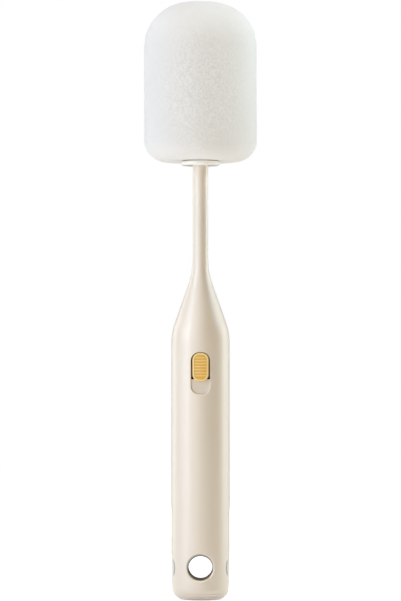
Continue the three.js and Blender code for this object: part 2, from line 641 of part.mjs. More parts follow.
// Seat disc, post and what fastens it
function headPost() {
  const profile = new THREE.Path();
  profile.moveTo(SOCKET_RADIUS, STEM_TOP);
  profile.lineTo(FLANGE_RADIUS - FLANGE_ROUND, STEM_TOP);
  profile.absarc(FLANGE_RADIUS - FLANGE_ROUND, STEM_TOP + FLANGE_ROUND, FLANGE_ROUND, -QUARTER, 0, false);
  profile.lineTo(FLANGE_RADIUS, FLANGE_TOP);
  profile.lineTo(POST_RADIUS, FLANGE_TOP);
  profile.lineTo(POST_RADIUS, POST_TOP);
  profile.lineTo(STEM_BORE, POST_TOP);
  profile.lineTo(STEM_BORE, SOCKET_TOP);
  profile.lineTo(SOCKET_RADIUS, SOCKET_TOP);
  profile.closePath();
  const cavityBox = block(
    [-CAVITY_RADIUS, -CAVITY_HALF_DEPTH, CAVITY_BOTTOM],
    [CAVITY_RADIUS, CAVITY_HALF_DEPTH, POST_TOP],
  );
  const cavity = bar('z', CAVITY_RADIUS, CAVITY_BOTTOM, POST_TOP, ROUND_SEGMENTS).intersect(cavityBox);
  const noseSeat = POST_TOP - NOSE_SPIGOT;
  const noseSocket = bar('z', NOSE_SOCKET_RADIUS, noseSeat, POST_TOP + OVERCUT, ROUND_SEGMENTS);
  const screwHoles = bar('y', SCREW_RADIUS + PIN_GAP, -POST_RADIUS - OVERCUT, POST_RADIUS + OVERCUT);
  const right = block(
    [0, BARB_NEAR_Y - PIN_GAP, BARB_BOTTOM - PIN_GAP],
    [POST_RADIUS + OVERCUT, BARB_FAR_Y + PIN_GAP, BARB_TOP + PIN_GAP],
  );
  const left = right.rotate([0, 0, 180]);
  const drilled = turned(profile).subtract(screwHoles.translate([0, 0, SCREW_Z]));
  return drilled.subtract(cavity).subtract(noseSocket).subtract(right).subtract(left);
}

function headScrew() {
  const tip = SPIGOT_RADIUS + PIN_GAP;
  const end = POST_RADIUS - PIN_GAP;
  const body = bar('y', SCREW_RADIUS, -end, -tip);
  const socket = bar('y', SCREW_SOCKET_RADIUS, -end - OVERCUT, -end + SCREW_SOCKET_DEPTH, HEX_SIDES);
  return body.subtract(socket).translate([0, 0, SCREW_Z]);
}

function noseCap() {
  const spigot = NOSE_SOCKET_RADIUS - PIN_GAP;
  const profile = new THREE.Path();
  profile.moveTo(0, POST_TOP - NOSE_SPIGOT + PIN_GAP);
  profile.lineTo(spigot, POST_TOP - NOSE_SPIGOT + PIN_GAP);
  profile.lineTo(spigot, POST_TOP);
  profile.lineTo(POST_RADIUS, POST_TOP);
  profile.quadraticCurveTo(POST_RADIUS, NOSE_TOP, 0, NOSE_TOP);
  profile.closePath();
  return turned(profile);
}

// Cam blade and barbs. A slot leans in as it rises, so the blade draws its barb in
// as it is pulled down.
function camSlot() {
  const shape = new THREE.Shape();
  const run = new THREE.Vector2(PIN_IN - PIN_OUT, BUTTON_TRAVEL);
  const turn = run.angle();
  const upper = BARB_PIN_Z + BUTTON_TRAVEL;
  shape.absarc(PIN_OUT, BARB_PIN_Z, CAM_SLOT_RADIUS, turn + QUARTER, turn + 3 * QUARTER, false);
  shape.absarc(PIN_IN, upper, CAM_SLOT_RADIUS, turn - QUARTER, turn + QUARTER, false);
  shape.closePath();
  return plate(shape, -BLADE_HUB_RADIUS, BLADE_HUB_RADIUS);
}

function camBlade() {
  const sheet = block(
    [-BLADE_HALF_WIDTH, -BLADE_HALF_THICKNESS, BLADE_HUB_BOTTOM + FIT_GAP],
    [BLADE_HALF_WIDTH, BLADE_HALF_THICKNESS, BLADE_TOP],
  );
  const hub = bar('z', BLADE_HUB_RADIUS, BLADE_HUB_BOTTOM, BLADE_HUB_TOP);
  const rodHole = bar('z', ROD_RADIUS + PIN_GAP, BLADE_HUB_BOTTOM - OVERCUT, ROD_TOP + PIN_GAP);
  const reach = BLADE_HALF_WIDTH + OVERCUT;
  const pinHole = bar('x', BLADE_PIN_RADIUS + PIN_GAP / 2, -reach, reach).translate([0, 0, BLADE_PIN_Z]);
  const right = camSlot();
  const left = right.mirror([1, 0, 0]);
  return sheet.add(hub).subtract(rodHole).subtract(pinHole).subtract(right).subtract(left);
}

function bladePin() {
  return bar('x', BLADE_PIN_RADIUS, -BLADE_HALF_WIDTH, BLADE_HALF_WIDTH).translate([0, 0, BLADE_PIN_Z]);
}

// The right barb: flat below, so that the foam can't climb over it, and sloping above.
function barb() {
  const outline = new THREE.Shape();
  outline.moveTo(PIN_OUT - BARB_TAIL, BARB_BOTTOM);
  outline.lineTo(BARB_TIP, BARB_BOTTOM);
  outline.lineTo(BARB_TIP - BARB_TOOTH, BARB_TOP);
  outline.lineTo(PIN_OUT - BARB_TAIL, BARB_TOP);
  outline.closePath();
  const pin = bar('y', CAM_PIN_RADIUS, -BLADE_HALF_THICKNESS, BARB_FAR_Y);
  return plate(outline, BARB_NEAR_Y, BARB_FAR_Y).add(pin.translate([PIN_OUT, 0, BARB_PIN_Z]));
}

// Sponge, dished underneath round the seat disc, with the pocket for the post and a slit
// for each barb
function sponge() {
  const topRound = Math.min(SPONGE_TOP_ROUND, SPONGE_RADIUS - OVERCUT);
  const pocketRadius = POST_RADIUS + FIT_GAP;
  const pocketTop = NOSE_TOP + SPONGE_POCKET_ABOVE_NOSE;
  const lowerCentre = SPONGE_BOTTOM + SPONGE_BOTTOM_ROUND;
  const profile = new THREE.Path();
  profile.moveTo(pocketRadius, SPONGE_MOUTH);
  profile.lineTo(FLANGE_RADIUS + FIT_GAP, SPONGE_MOUTH);
  profile.lineTo(SPONGE_RADIUS - SPONGE_BOTTOM_ROUND, SPONGE_BOTTOM);
  profile.absarc(SPONGE_RADIUS - SPONGE_BOTTOM_ROUND, lowerCentre, SPONGE_BOTTOM_ROUND, -QUARTER, 0, false);
  profile.absarc(SPONGE_RADIUS - topRound, SPONGE_TOP - topRound, topRound, 0, QUARTER, false);
  profile.lineTo(0, SPONGE_TOP);
  profile.lineTo(0, pocketTop);
  profile.lineTo(pocketRadius, pocketTop);
  profile.closePath();
  const right = block(
    [0, BARB_NEAR_Y - FIT_GAP, SPONGE_BOTTOM - OVERCUT],
    [BARB_TIP + FIT_GAP, BARB_FAR_Y + FIT_GAP, BARB_TOP + FIT_GAP],
  );
  const left = right.rotate([0, 0, 180]);
  return turned(profile).subtract(right).subtract(left);
}

// Materials
const CREAM = { color: 0xf1ebdf, roughness: 0.35, metalness: 0 };
const YELLOW = { color: 0xe2ae55, roughness: 0.45, metalness: 0 };
const FOAM = { color: 0xf2f2f0, roughness: 0.95, metalness: 0 };
const DARK_PLASTIC = { color: 0x3a332c, roughness: 0.6, metalness: 0 };
const INNER_PLASTIC = { color: 0xd9d4ca, roughness: 0.6, metalness: 0 };
const STEEL = { color: 0xc4c6c8, roughness: 0.3, metalness: 1 };
const SEAL_RUBBER = { color: 0x4a4a4a, roughness: 0.8, metalness: 0 };

function piece(name, solid, finish) {
  const mesh = new THREE.Mesh(toGeometry(solid), new THREE.MeshStandardMaterial(finish));
  mesh.name = name;
  return mesh;
}

// A second copy of a piece, turned half way round the brush's axis.
function opposite(mesh) {
  mesh.rotation.z = Math.PI;
  return mesh;
}

const handle = new THREE.Group();
handle.add(piece('handle_shell', handleShell(), CREAM));
handle.add(piece('end_cap', endCap(), CREAM));
handle.add(piece('tail_bulkhead', tailBulkhead(), INNER_PLASTIC));
handle.add(piece('bulkhead_seal', ringSeal(SEAL_RADIUS, SEAL_WIRE, SEAL_Z, ROUND_SEGMENTS), SEAL_RUBBER));
handle.add(piece('slide_frame', slideFrame(), INNER_PLASTIC));
handle.add(piece('return_spring', returnSpring(), STEEL));
handle.add(piece('head_post', headPost(), CREAM));
handle.add(piece('head_screw_front', headScrew(), STEEL));
handle.add(opposite(piece('head_screw_back', headScrew(), STEEL)));
handle.add(piece('nose_cap', noseCap(), INNER_PLASTIC));

const rodSealRadius = ROD_RADIUS + PIN_GAP + ROD_SEAL_WIRE;
const rodSealZ = (SPIGOT_TOP + SOCKET_TOP) / 2;
const rodSeal = ringSeal(rodSealRadius, ROD_SEAL_WIRE, rodSealZ, SMALL_SEGMENTS);
handle.add(piece('rod_seal', rodSeal, SEAL_RUBBER));

const slider = new THREE.Group();
slider.add(piece('thumb_button', thumbButton(), YELLOW));
slider.add(piece('slot_shutter', slotShutter(), DARK_PLASTIC));
slider.add(piece('slide_carriage', slideCarriage(), INNER_PLASTIC));
slider.add(piece('pull_rod', pullRod(), STEEL));
slider.add(piece('rod_clip', rodClip(), STEEL));
slider.add(piece('cam_blade', camBlade(), STEEL));
slider.add(piece('blade_pin', bladePin(), STEEL));

const head = new THREE.Group();
head.add(piece('barb_right', barb(), STEEL));
head.add(opposite(piece('barb_left', barb(), STEEL)));
head.add(piece('sponge', sponge(), FOAM));

const brush = new THREE.Group();
brush.add(handle, slider, head);

export default brush;
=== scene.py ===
# Looks of a bottle brush: a foam sponge on a thin stem, with a slide button in the grip that
# lets go of the sponge. Metres, +Z up. The middle of the base is the origin, and the button faces -Y.
import math

import bmesh
import bpy
from mathutils import Matrix, Vector, noise


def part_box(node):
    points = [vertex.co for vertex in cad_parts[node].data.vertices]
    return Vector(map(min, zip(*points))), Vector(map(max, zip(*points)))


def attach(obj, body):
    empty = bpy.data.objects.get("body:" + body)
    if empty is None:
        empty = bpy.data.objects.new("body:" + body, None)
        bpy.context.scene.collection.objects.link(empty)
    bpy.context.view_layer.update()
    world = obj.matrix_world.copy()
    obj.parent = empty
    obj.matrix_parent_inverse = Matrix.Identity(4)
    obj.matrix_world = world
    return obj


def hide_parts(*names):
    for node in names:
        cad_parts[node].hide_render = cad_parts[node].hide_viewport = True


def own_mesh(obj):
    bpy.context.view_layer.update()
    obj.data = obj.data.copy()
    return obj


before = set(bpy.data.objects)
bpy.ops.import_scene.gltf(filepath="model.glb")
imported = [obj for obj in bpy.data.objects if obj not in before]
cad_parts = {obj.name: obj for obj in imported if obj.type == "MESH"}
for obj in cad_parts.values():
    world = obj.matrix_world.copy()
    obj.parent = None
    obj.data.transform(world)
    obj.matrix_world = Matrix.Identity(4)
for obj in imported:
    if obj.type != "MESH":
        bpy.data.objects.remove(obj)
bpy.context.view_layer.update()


# Handle. Grip, shoulder and stem are one hollow moulding in satin cream plastic.
# The front of the grip has the recess that the slide button runs in. The tail has the
# hanging hole, and on each side a round window that the end cap snaps into.
MM = 0.001
GRIP_RADIUS = 14.6 * MM
GRIP_WALL = 2.4 * MM
GRIP_TOP = 128.5 * MM
GRIP_ROWS = 24
SHOULDER_ROUND = 30 * MM
SHOULDER_ANGLE = 19.5
NECK_ROUND = 40 * MM
STEM_RADIUS = 3.85 * MM
STEM_LENGTH = 46.45 * MM
STEM_BORE = 1.9 * MM
SPIGOT_RADIUS = 2.9 * MM
SPIGOT_LENGTH = 12 * MM
TAIL_TAPER = 0.45 * MM
TAIL_TAPER_LENGTH = 12 * MM
BASE_ROUND = 6 * MM
SHELL_BOTTOM = 3.2 * MM
SEAM_GAP = 0.06 * MM
ARC_STEPS = 14
SPIN_STEPS = 180
WELD = 0.001 * MM
MOST_CORNERS = 4
SHARP_ANGLE = 35

BORE_RADIUS = GRIP_RADIUS - GRIP_WALL
TAIL_RADIUS = GRIP_RADIUS - TAIL_TAPER


def arc(centre, radius, start, end, steps=ARC_STEPS):
    """Points on an arc between two angles in degrees."""
    points = []
    for step in range(steps + 1):
        angle = math.radians(start + (end - start) * step / steps)
        points.append((centre[0] + radius * math.cos(angle), centre[1] + radius * math.sin(angle)))
    return points


def spun(profile, steps=SPIN_STEPS):
    """A profile of radius and height, spun about the brush's axis. Off the axis it closes on itself."""
    shape = bmesh.new()
    ring = [shape.verts.new((radius, 0, height)) for radius, height in profile]
    pairs = list(zip(ring, ring[1:]))
    if profile[0][0] > 0:
        pairs.append((ring[-1], ring[0]))
    edges = [shape.edges.new(pair) for pair in pairs]
    bmesh.ops.spin(
        shape, geom=ring + edges, cent=(0, 0, 0), axis=(0, 0, 1), angle=math.tau, steps=steps, use_merge=True
    )
    bmesh.ops.remove_doubles(shape, verts=shape.verts, dist=WELD)
    bmesh.ops.recalc_face_normals(shape, faces=shape.faces)
    return shape


def lofted(rings):
    """A skin over closed rings of as many points each, with a face on the first ring and on the last."""
    shape = bmesh.new()
    ring = [shape.verts.new(point) for point in rings[0]]
    edges = [shape.edges.new(pair) for pair in zip(ring, ring[1:] + ring[:1])]
    bmesh.ops.edgeloop_fill(shape, edges=edges)
    for points in rings[1:]:
        drawn = bmesh.ops.extrude_edge_only(shape, edges=edges)["geom"]
        ring = [part for part in drawn if isinstance(part, bmesh.types.BMVert)]
        edges = [part for part in drawn if isinstance(part, bmesh.types.BMEdge)]
        for vert, point in zip(ring, points):
            vert.co = point
    bmesh.ops.edgeloop_fill(shape, edges=edges)
    bmesh.ops.recalc_face_normals(shape, faces=shape.faces)
    return shape


def block(low, high):
    """A box between two corners."""
    low = Vector(low)
    high = Vector(high)
    shape = bmesh.new()
    bmesh.ops.create_cube(shape, size=1)
    size = Matrix.Diagonal((*(high - low), 1))
    bmesh.ops.transform(shape, matrix=Matrix.Translation((low + high) / 2) @ size, verts=shape.verts)
    return shape


def piece(name, shape):
    """An object in the row frame with a shape as its mesh."""
    mesh = bpy.data.meshes.new(name)
    shape.to_mesh(mesh)
    shape.free()
    made = bpy.data.objects.new(name, mesh)
    bpy.context.scene.collection.objects.link(made)
    return made


def carve(body, operation, shape):
    """Takes a shape from a body, or joins it to the body, and leaves no tiny edge or many-sided face."""
    tool = piece("tool", shape)
    modifier = body.modifiers.new("carve", "BOOLEAN")
    modifier.operation = operation
    modifier.solver = "EXACT"
    modifier.object = tool
    graph = bpy.context.evaluated_depsgraph_get()
    mesh = bpy.data.meshes.new_from_object(body.evaluated_get(graph))
    clean = bmesh.new()
    clean.from_mesh(mesh)
    bmesh.ops.dissolve_degenerate(clean, dist=WELD, edges=clean.edges)
    bmesh.ops.triangulate(clean, faces=[face for face in clean.faces if len(face.verts) > MOST_CORNERS])
    clean.to_mesh(mesh)
    clean.free()
    body.modifiers.clear()
    body.data = mesh
    bpy.data.objects.remove(tool)


def dress(made, material, angle=SHARP_ANGLE):
    """Gives a new piece its finish, smooth but for edges sharper than an angle."""
    made.data.shade_smooth()
    made.data.set_sharp_from_angle(angle=math.radians(angle))
    made.data.materials.clear()
    made.data.materials.append(material)


def base_angle(height):
    """Angle on the rounding of the base at a height, in degrees."""
    return math.degrees(math.asin((height - BASE_ROUND) / BASE_ROUND))


def tail_radius(height):
    """Radius of the grip's wall, which draws in towards the base."""
    below = max(0, BASE_ROUND + TAIL_TAPER_LENGTH - height)
    return GRIP_RADIUS - TAIL_TAPER * (below / TAIL_TAPER_LENGTH) ** 2


base_centre = (TAIL_RADIUS - BASE_ROUND, BASE_ROUND)
shoulder_centre = (GRIP_RADIUS - SHOULDER_ROUND, GRIP_TOP)
shoulder_end = arc(shoulder_centre, SHOULDER_ROUND, SHOULDER_ANGLE, SHOULDER_ANGLE, 1)[0]
neck_start_radius = STEM_RADIUS + NECK_ROUND * (1 - math.cos(math.radians(SHOULDER_ANGLE)))
neck_start = shoulder_end[1] + (shoulder_end[0] - neck_start_radius) / math.tan(math.radians(SHOULDER_ANGLE))
neck_end = neck_start + NECK_ROUND * math.sin(math.radians(SHOULDER_ANGLE))
stem_top = neck_end + STEM_LENGTH
inner_end = arc(shoulder_centre, SHOULDER_ROUND - GRIP_WALL, SHOULDER_ANGLE, SHOULDER_ANGLE, 1)[0]
bore_start = inner_end[1] + (inner_end[0] - STEM_BORE) / math.tan(math.radians(SHOULDER_ANGLE))

handle_profile = [(BORE_RADIUS, SHELL_BOTTOM)]
handle_profile += arc(base_centre, BASE_ROUND, base_angle(SHELL_BOTTOM), 0)
for row in range(1, GRIP_ROWS + 1):
    height = BASE_ROUND + (GRIP_TOP - BASE_ROUND) * row / GRIP_ROWS
    handle_profile.append((tail_radius(height), height))
handle_profile += arc(shoulder_centre, SHOULDER_ROUND, 0, SHOULDER_ANGLE)[1:]
handle_profile += arc((STEM_RADIUS + NECK_ROUND, neck_end), NECK_ROUND, 180 + SHOULDER_ANGLE, 180)
handle_profile += [
    (STEM_RADIUS, stem_top),
    (SPIGOT_RADIUS, stem_top),
    (SPIGOT_RADIUS, stem_top + SPIGOT_LENGTH),
    (STEM_BORE, stem_top + SPIGOT_LENGTH),
    (STEM_BORE, bore_start),
]
handle_profile += arc(shoulder_centre, SHOULDER_ROUND - GRIP_WALL, SHOULDER_ANGLE, 0)

SLOT_HALF_WIDTH = 4.7 * MM
SLOT_TOP = 123.4 * MM
SLOT_BOTTOM = 102.5 * MM
SLOT_CORNER = 4.1 * MM
SLOT_LIP = 0.4 * MM
RECESS_DRAFT = 0.5 * MM
RECESS_Y = -12.9 * MM
OPENING_BOTTOM = 110.15 * MM
OPENING_STEP = 0.05 * MM
PAD_LOW = (-6.6 * MM, -12.5 * MM, 101.35 * MM)
PAD_HIGH = (6.6 * MM, -10.4 * MM, 132.65 * MM)
HOLE_RADIUS = 6 * MM
HOLE_LIP = 1.7 * MM
WINDOW_RADIUS = 6.6 * MM
WINDOW_LIP = 0.3 * MM
WINDOW_Z = 16.2 * MM
CLEAR = 1 * MM
LIP_STEPS = 6
CIRCLE_STEPS = 96
FRONT = -1
BACK = 1


def rounded_outline(half_width, low, high, corner, steps=ARC_STEPS):
    """Points in x and z round a rectangle with round corners."""
    inset = half_width - corner
    points = []
    for x, z, start in (
        (inset, high - corner, 0),
        (-inset, high - corner, 90),
        (-inset, low + corner, 180),
        (inset, low + corner, 270),
    ):
        points += arc((x, z), corner, start, start + 90, steps)
    return points


def slot_outline(grown=0):
    """The outline of the recess, grown all round."""
    low = SLOT_BOTTOM - grown
    high = SLOT_TOP + grown
    return rounded_outline(SLOT_HALF_WIDTH + grown, low, high, SLOT_CORNER + grown)


def circle_outline(radius, height):
    return arc((0, height), radius, 0, 360, CIRCLE_STEPS)[:-1]


def flat_ring(outline, y):
    return [(x, y, z) for x, z in outline]


def wall_ring(outline, radius, side=FRONT):
    """An outline laid on the front or the back of a round wall."""
    return [(x, side * math.sqrt(radius**2 - x**2), z) for x, z in outline]


def quarter_turns():
    """Angles in even steps through the quarter turn of a rounded edge."""
    return [math.radians(90 * step / LIP_STEPS) for step in range(LIP_STEPS + 1)]


def lip_rings(outline, lip, side=FRONT):
    """Rings down the rolled edge of an opening, from the wall's face inwards."""
    rings = [flat_ring(outline(lip), side * (GRIP_RADIUS + CLEAR))]
    for turn in quarter_turns():
        grown = lip * (1 - math.sin(turn))
        rings.append(wall_ring(outline(grown), GRIP_RADIUS - lip * (1 - math.cos(turn)), side))
    return rings


def through_hole(radius, lip):
    """A cutter for a round hole through the front and the back of the tail."""

    def outline(grown):
        return circle_outline(radius + grown, WINDOW_Z)

    return lofted(lip_rings(outline, lip, FRONT) + lip_rings(outline, lip, BACK)[::-1])


def button_opening():
    """A cutter for the upper part of the recess, which is open to the inside and has upright walls."""
    outline = slot_outline(-OPENING_STEP)
    shape = lofted([flat_ring(outline, -GRIP_RADIUS - CLEAR), flat_ring(outline, PAD_HIGH[1] + CLEAR)])
    cut = bmesh.ops.bisect_plane(
        shape,
        geom=shape.verts[:] + shape.edges[:] + shape.faces[:],
        plane_co=(0, 0, OPENING_BOTTOM),
        plane_no=(0, 0, -1),
        clear_outer=True,
    )
    rim = [part for part in cut["geom_cut"] if isinstance(part, bmesh.types.BMEdge)]
    bmesh.ops.edgeloop_fill(shape, edges=rim)
    bmesh.ops.recalc_face_normals(shape, faces=shape.faces)
    return shape


side_windows = through_hole(WINDOW_RADIUS, WINDOW_LIP)
quarter_turn = Matrix.Rotation(math.pi / 2, 3, "Z")
bmesh.ops.rotate(side_windows, cent=(0, 0, 0), matrix=quarter_turn, verts=side_windows.verts)

handle = piece("grip_and_stem", spun(handle_profile))
carve(handle, "DIFFERENCE", through_hole(HOLE_RADIUS, HOLE_LIP))
carve(handle, "DIFFERENCE", side_windows)
carve(handle, "UNION", block(PAD_LOW, PAD_HIGH))
recess_floor = flat_ring(slot_outline(-RECESS_DRAFT), RECESS_Y)
carve(handle, "DIFFERENCE", lofted(lip_rings(slot_outline, SLOT_LIP) + [recess_floor]))
carve(handle, "DIFFERENCE", button_opening())


class Wire:
    """An output of a shader node, on which sums are written as on a number."""

    def __init__(self, nodes, socket):
        self.nodes = nodes
        self.socket = socket

    def math(self, operation, *values):
        return self.nodes.node("Math", {"operation": operation}, dict(enumerate(values)))

    def largest(self, other):
        return self.math("MAXIMUM", self, other)

    def smallest(self, other):
        return self.math("MINIMUM", self, other)

    def below(self, limit):
        return self.math("LESS_THAN", self, limit)

    def without_sign(self):
        return self.math("ABSOLUTE", self)

    def clamped(self):
        return self.smallest(1).largest(0)

    def rises(self, start, width):
        """0 up to a start, and 1 from a width past it."""
        return ((self - start) * (1 / width)).clamped()

    def falls(self, end, width):
        """1 up to a width before an end, and 0 past it."""
        return ((end - self) * (1 / width)).clamped()

    def __add__(self, other):
        return self.math("ADD", self, other)

    def __radd__(self, other):
        return self.math("ADD", other, self)

    def __sub__(self, other):
        return self.math("SUBTRACT", self, other)

    def __rsub__(self, other):
        return self.math("SUBTRACT", other, self)

    def __mul__(self, other):
        return self.math("MULTIPLY", self, other)

    def __rmul__(self, other):
        return self.math("MULTIPLY", other, self)


MIX_SHARE = 0
MIX_FIRST = 6
MIX_SECOND = 7
MIX_COLOUR = 2


class Nodes:
    """A node tree that is written as calls."""

    def __init__(self, tree):
        self.tree = tree

    def node(self, kind, settings=None, sockets=None, output=0):
        """A node with its settings and then its sockets filled in. Gives one of its outputs."""
        made = self.tree.nodes.new("ShaderNode" + kind)
        for name, value in (settings or {}).items():
            setattr(made, name, value)
        for name, value in (sockets or {}).items():
            self.feed(made.inputs[name], value)
        return Wire(self, made.outputs[output])

    def feed(self, socket, value):
        """Links a wire to a socket, or sets the socket to a value."""
        if isinstance(value, Wire):
            self.tree.links.new(value.socket, socket)
        else:
            socket.default_value = value

    def mix(self, share, first, second):
        """A colour between two, each of which is a colour or a wire."""
        sockets = {MIX_SHARE: share}
        for socket, colour in ((MIX_FIRST, first), (MIX_SECOND, second)):
            sockets[socket] = colour if isinstance(colour, Wire) else (*colour, 1)
        return self.node("Mix", {"data_type": "RGBA"}, sockets, output=MIX_COLOUR)

    def distance(self, place, centre, axes):
        """Distance of a place from a point, measured along some of the axes."""
        offset = self.node("VectorMath", {"operation": "SUBTRACT"}, {0: place, 1: centre})
        kept = self.node("VectorMath", {"operation": "MULTIPLY"}, {0: offset, 1: axes})
        return self.node("VectorMath", {"operation": "LENGTH"}, {0: kept}, output="Value")


def finish(name, constants):
    """A material, its nodes and its shader, with what is the same all over set on the shader."""
    material = bpy.data.materials.new(name)
    material.use_nodes = True
    shader = material.node_tree.nodes["Principled BSDF"]
    for socket, value in constants.items():
        shader.inputs[socket].default_value = value
    return material, Nodes(material.node_tree), shader


CREAM_LIGHT = (0.66, 0.54, 0.415)
CREAM_DEEP = (0.64, 0.52, 0.393)
# Painted light: a paler cream standing in for the seat disc's brightly lit edge.
CREAM_PAINTED_LIGHT = (0.93, 0.89, 0.82)
CREAM_ROUGHNESS = 0.3
CREAM_ROUGHNESS_SPAN = 0.08
CREAM_CLOUDS = 22
CREAM_GRAIN = 2400
CREAM_GRAIN_DEPTH = 0.006 * MM
# Painted shade: a dark colour laid where shade falls, in the hanging hole's lip, the gaps round the bosses
# and at the foot.
PAINTED_SHADE = (0.12, 0.1, 0.075)
HOLE_SHADE = 0.75 * MM
HOLE_SOFT = 0.4 * MM
HOLE_SHADE_X = -0.3 * MM
HOLE_SHADE_Z = 0.5 * MM
GAP_INSET = 0.3 * MM
GAP_SHADE = 1.15 * MM
GAP_SOFT = 0.25 * MM
GAP_REACH = 4.6 * MM
GAP_FADE = 2 * MM
FOOT_SHADE = 0.9 * MM
FOOT_SOFT = 0.6 * MM
FOOT_SHARE = 0.7


def cream_plastic(name, painted_light_top):
    """Satin plastic with painted shade where the hanging hole turns in, in the gaps round the bosses
    and at the foot, where shade falls.

    Below the height given as its second argument it is painted paler, as painted light.
    """
    material, nodes, shader = finish(
        name,
        {
            "IOR": 1.5,
            "Coat Weight": 1.0,
            "Coat IOR": 2.8,
            "Coat Roughness": 0.5,
            "Sheen Weight": 0.25,
            "Sheen Roughness": 0.45,
            "Subsurface Weight": 0.15,
            "Subsurface Radius": (1.0, 0.7, 0.5),
            "Subsurface Scale": 2 * MM,
        },
    )
    place = nodes.node("TexCoord", output="Object")
    clouds = nodes.node("TexNoise", {}, {"Vector": place, "Scale": CREAM_CLOUDS, "Detail": 2})
    grain = nodes.node("TexNoise", {}, {"Vector": place, "Scale": CREAM_GRAIN, "Detail": 3})
    bump = nodes.node("Bump", {}, {"Strength": 0.5, "Distance": CREAM_GRAIN_DEPTH, "Height": grain})
    tail_centre = (0, 0, WINDOW_Z)
    # Painted shade in the hanging hole, set up and to the left, where its lip faces away from the light.
    from_hole = nodes.distance(place, (HOLE_SHADE_X, 0, WINDOW_Z + HOLE_SHADE_Z), (1, 0, 1))
    hole_painted_shade = from_hole.falls(HOLE_RADIUS + HOLE_SHADE, HOLE_SOFT)
    from_gap = (nodes.distance(place, tail_centre, (0, 1, 1)) - (WINDOW_RADIUS - GAP_INSET)).without_sign()
    near_middle = nodes.distance(place, tail_centre, (0, 0, 1)).falls(GAP_REACH, GAP_FADE)
    gap_painted_shade = from_gap.falls(GAP_SHADE, GAP_SOFT) * near_middle
    height = nodes.node("SeparateXYZ", {}, {0: place}, output="Z")
    foot_painted_shade = height.falls(FOOT_SHADE, FOOT_SOFT) * FOOT_SHARE
    # The hole, gap and foot masks together paint shade into the colour.
    painted_shade = hole_painted_shade.largest(foot_painted_shade.largest(gap_painted_shade))
    # Painted light: below the given height the cream is painted paler.
    painted_light = height.below(painted_light_top)
    cream_colour = nodes.mix(painted_light, nodes.mix(clouds, CREAM_LIGHT, CREAM_DEEP), CREAM_PAINTED_LIGHT)
    nodes.feed(shader.inputs["Base Color"], nodes.mix(painted_shade, cream_colour, PAINTED_SHADE))
    nodes.feed(shader.inputs["Roughness"], CREAM_ROUGHNESS + CREAM_ROUGHNESS_SPAN * grain)
    nodes.feed(shader.inputs["Normal"], bump)
    return material


cream = cream_plastic("satin_cream_plastic", painted_light_top=0)
dress(handle, cream)
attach(handle, "handle")
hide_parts("handle_shell")


# End cap. The rounded base and the sleeve behind the windows are one cream moulding.
# It is pushed up into the tail, where a round boss on each side springs into its window.
CAP_SEAM = SHELL_BOTTOM - SEAM_GAP
SKIRT_GAP = 0.3 * MM
SKIRT_WALL = 1.6 * MM
SKIRT_RADIUS = BORE_RADIUS - SKIRT_GAP
SKIRT_INNER = SKIRT_RADIUS - SKIRT_WALL
SKIRT_TOP = 24.4 * MM
CAP_FLOOR = 3.6 * MM
SKIRT_HOLE = 6.6 * MM
BOSS_RADIUS = 6 * MM
BOSS_RECESS = 0.25 * MM
BOSS_EDGE = 0.3 * MM
BOSS_RINGS = 8
LEFT = -1
RIGHT = 1

cap_profile = [(0, 0)]
cap_profile += arc(base_centre, BASE_ROUND, -90, base_angle(CAP_SEAM))
cap_profile += [
    (SKIRT_RADIUS, CAP_SEAM),
    (SKIRT_RADIUS, SKIRT_TOP),
    (SKIRT_INNER, SKIRT_TOP),
    (SKIRT_INNER, CAP_FLOOR),
    (0, CAP_FLOOR),
]


def boss(side):
    """A round boss whose face follows the tail's wall, a little below it."""

    def face_ring(radius, depth):
        points = []
        for y, z in circle_outline(radius, WINDOW_Z):
            reach = math.sqrt((tail_radius(z) - BOSS_RECESS - depth) ** 2 - y**2)
            points.append((side * reach, y, z))
        return points

    rings = [[(side * (SKIRT_INNER + CLEAR), y, z) for y, z in circle_outline(BOSS_RADIUS, WINDOW_Z)]]
    for turn in quarter_turns():
        radius = BOSS_RADIUS - BOSS_EDGE * (1 - math.cos(turn))
        rings.append(face_ring(radius, BOSS_EDGE * (1 - math.sin(turn))))
    for ring in range(1, BOSS_RINGS):
        rings.append(face_ring((BOSS_RADIUS - BOSS_EDGE) * (1 - ring / BOSS_RINGS), 0))
    return lofted(rings)


def bar_along_y(radius, reach, height):
    """A round bar through the brush from front to back."""
    outline = circle_outline(radius, height)
    return lofted([flat_ring(outline, -reach), flat_ring(outline, reach)])


end_cap = piece("base_cap", spun(cap_profile))
carve(end_cap, "UNION", boss(LEFT))
carve(end_cap, "UNION", boss(RIGHT))
carve(end_cap, "DIFFERENCE", bar_along_y(SKIRT_HOLE, GRIP_RADIUS + CLEAR, WINDOW_Z))
dress(end_cap, cream)
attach(end_cap, "handle")
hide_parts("end_cap")


# Bulkhead, slide frame and carriage. Plain moulded parts inside the grip, in pale
# unpolished plastic with a fine matt grain. They guide the button's slide.
INNER_LIGHT = (0.78, 0.69, 0.57)
INNER_DEEP = (0.72, 0.63, 0.51)
INNER_CLOUDS = 90
INNER_GRAIN = 1800
INNER_GRAIN_DEPTH = 0.02 * MM
INNER_ROUGHNESS = 0.5
INNER_ROUGHNESS_SPAN = 0.15


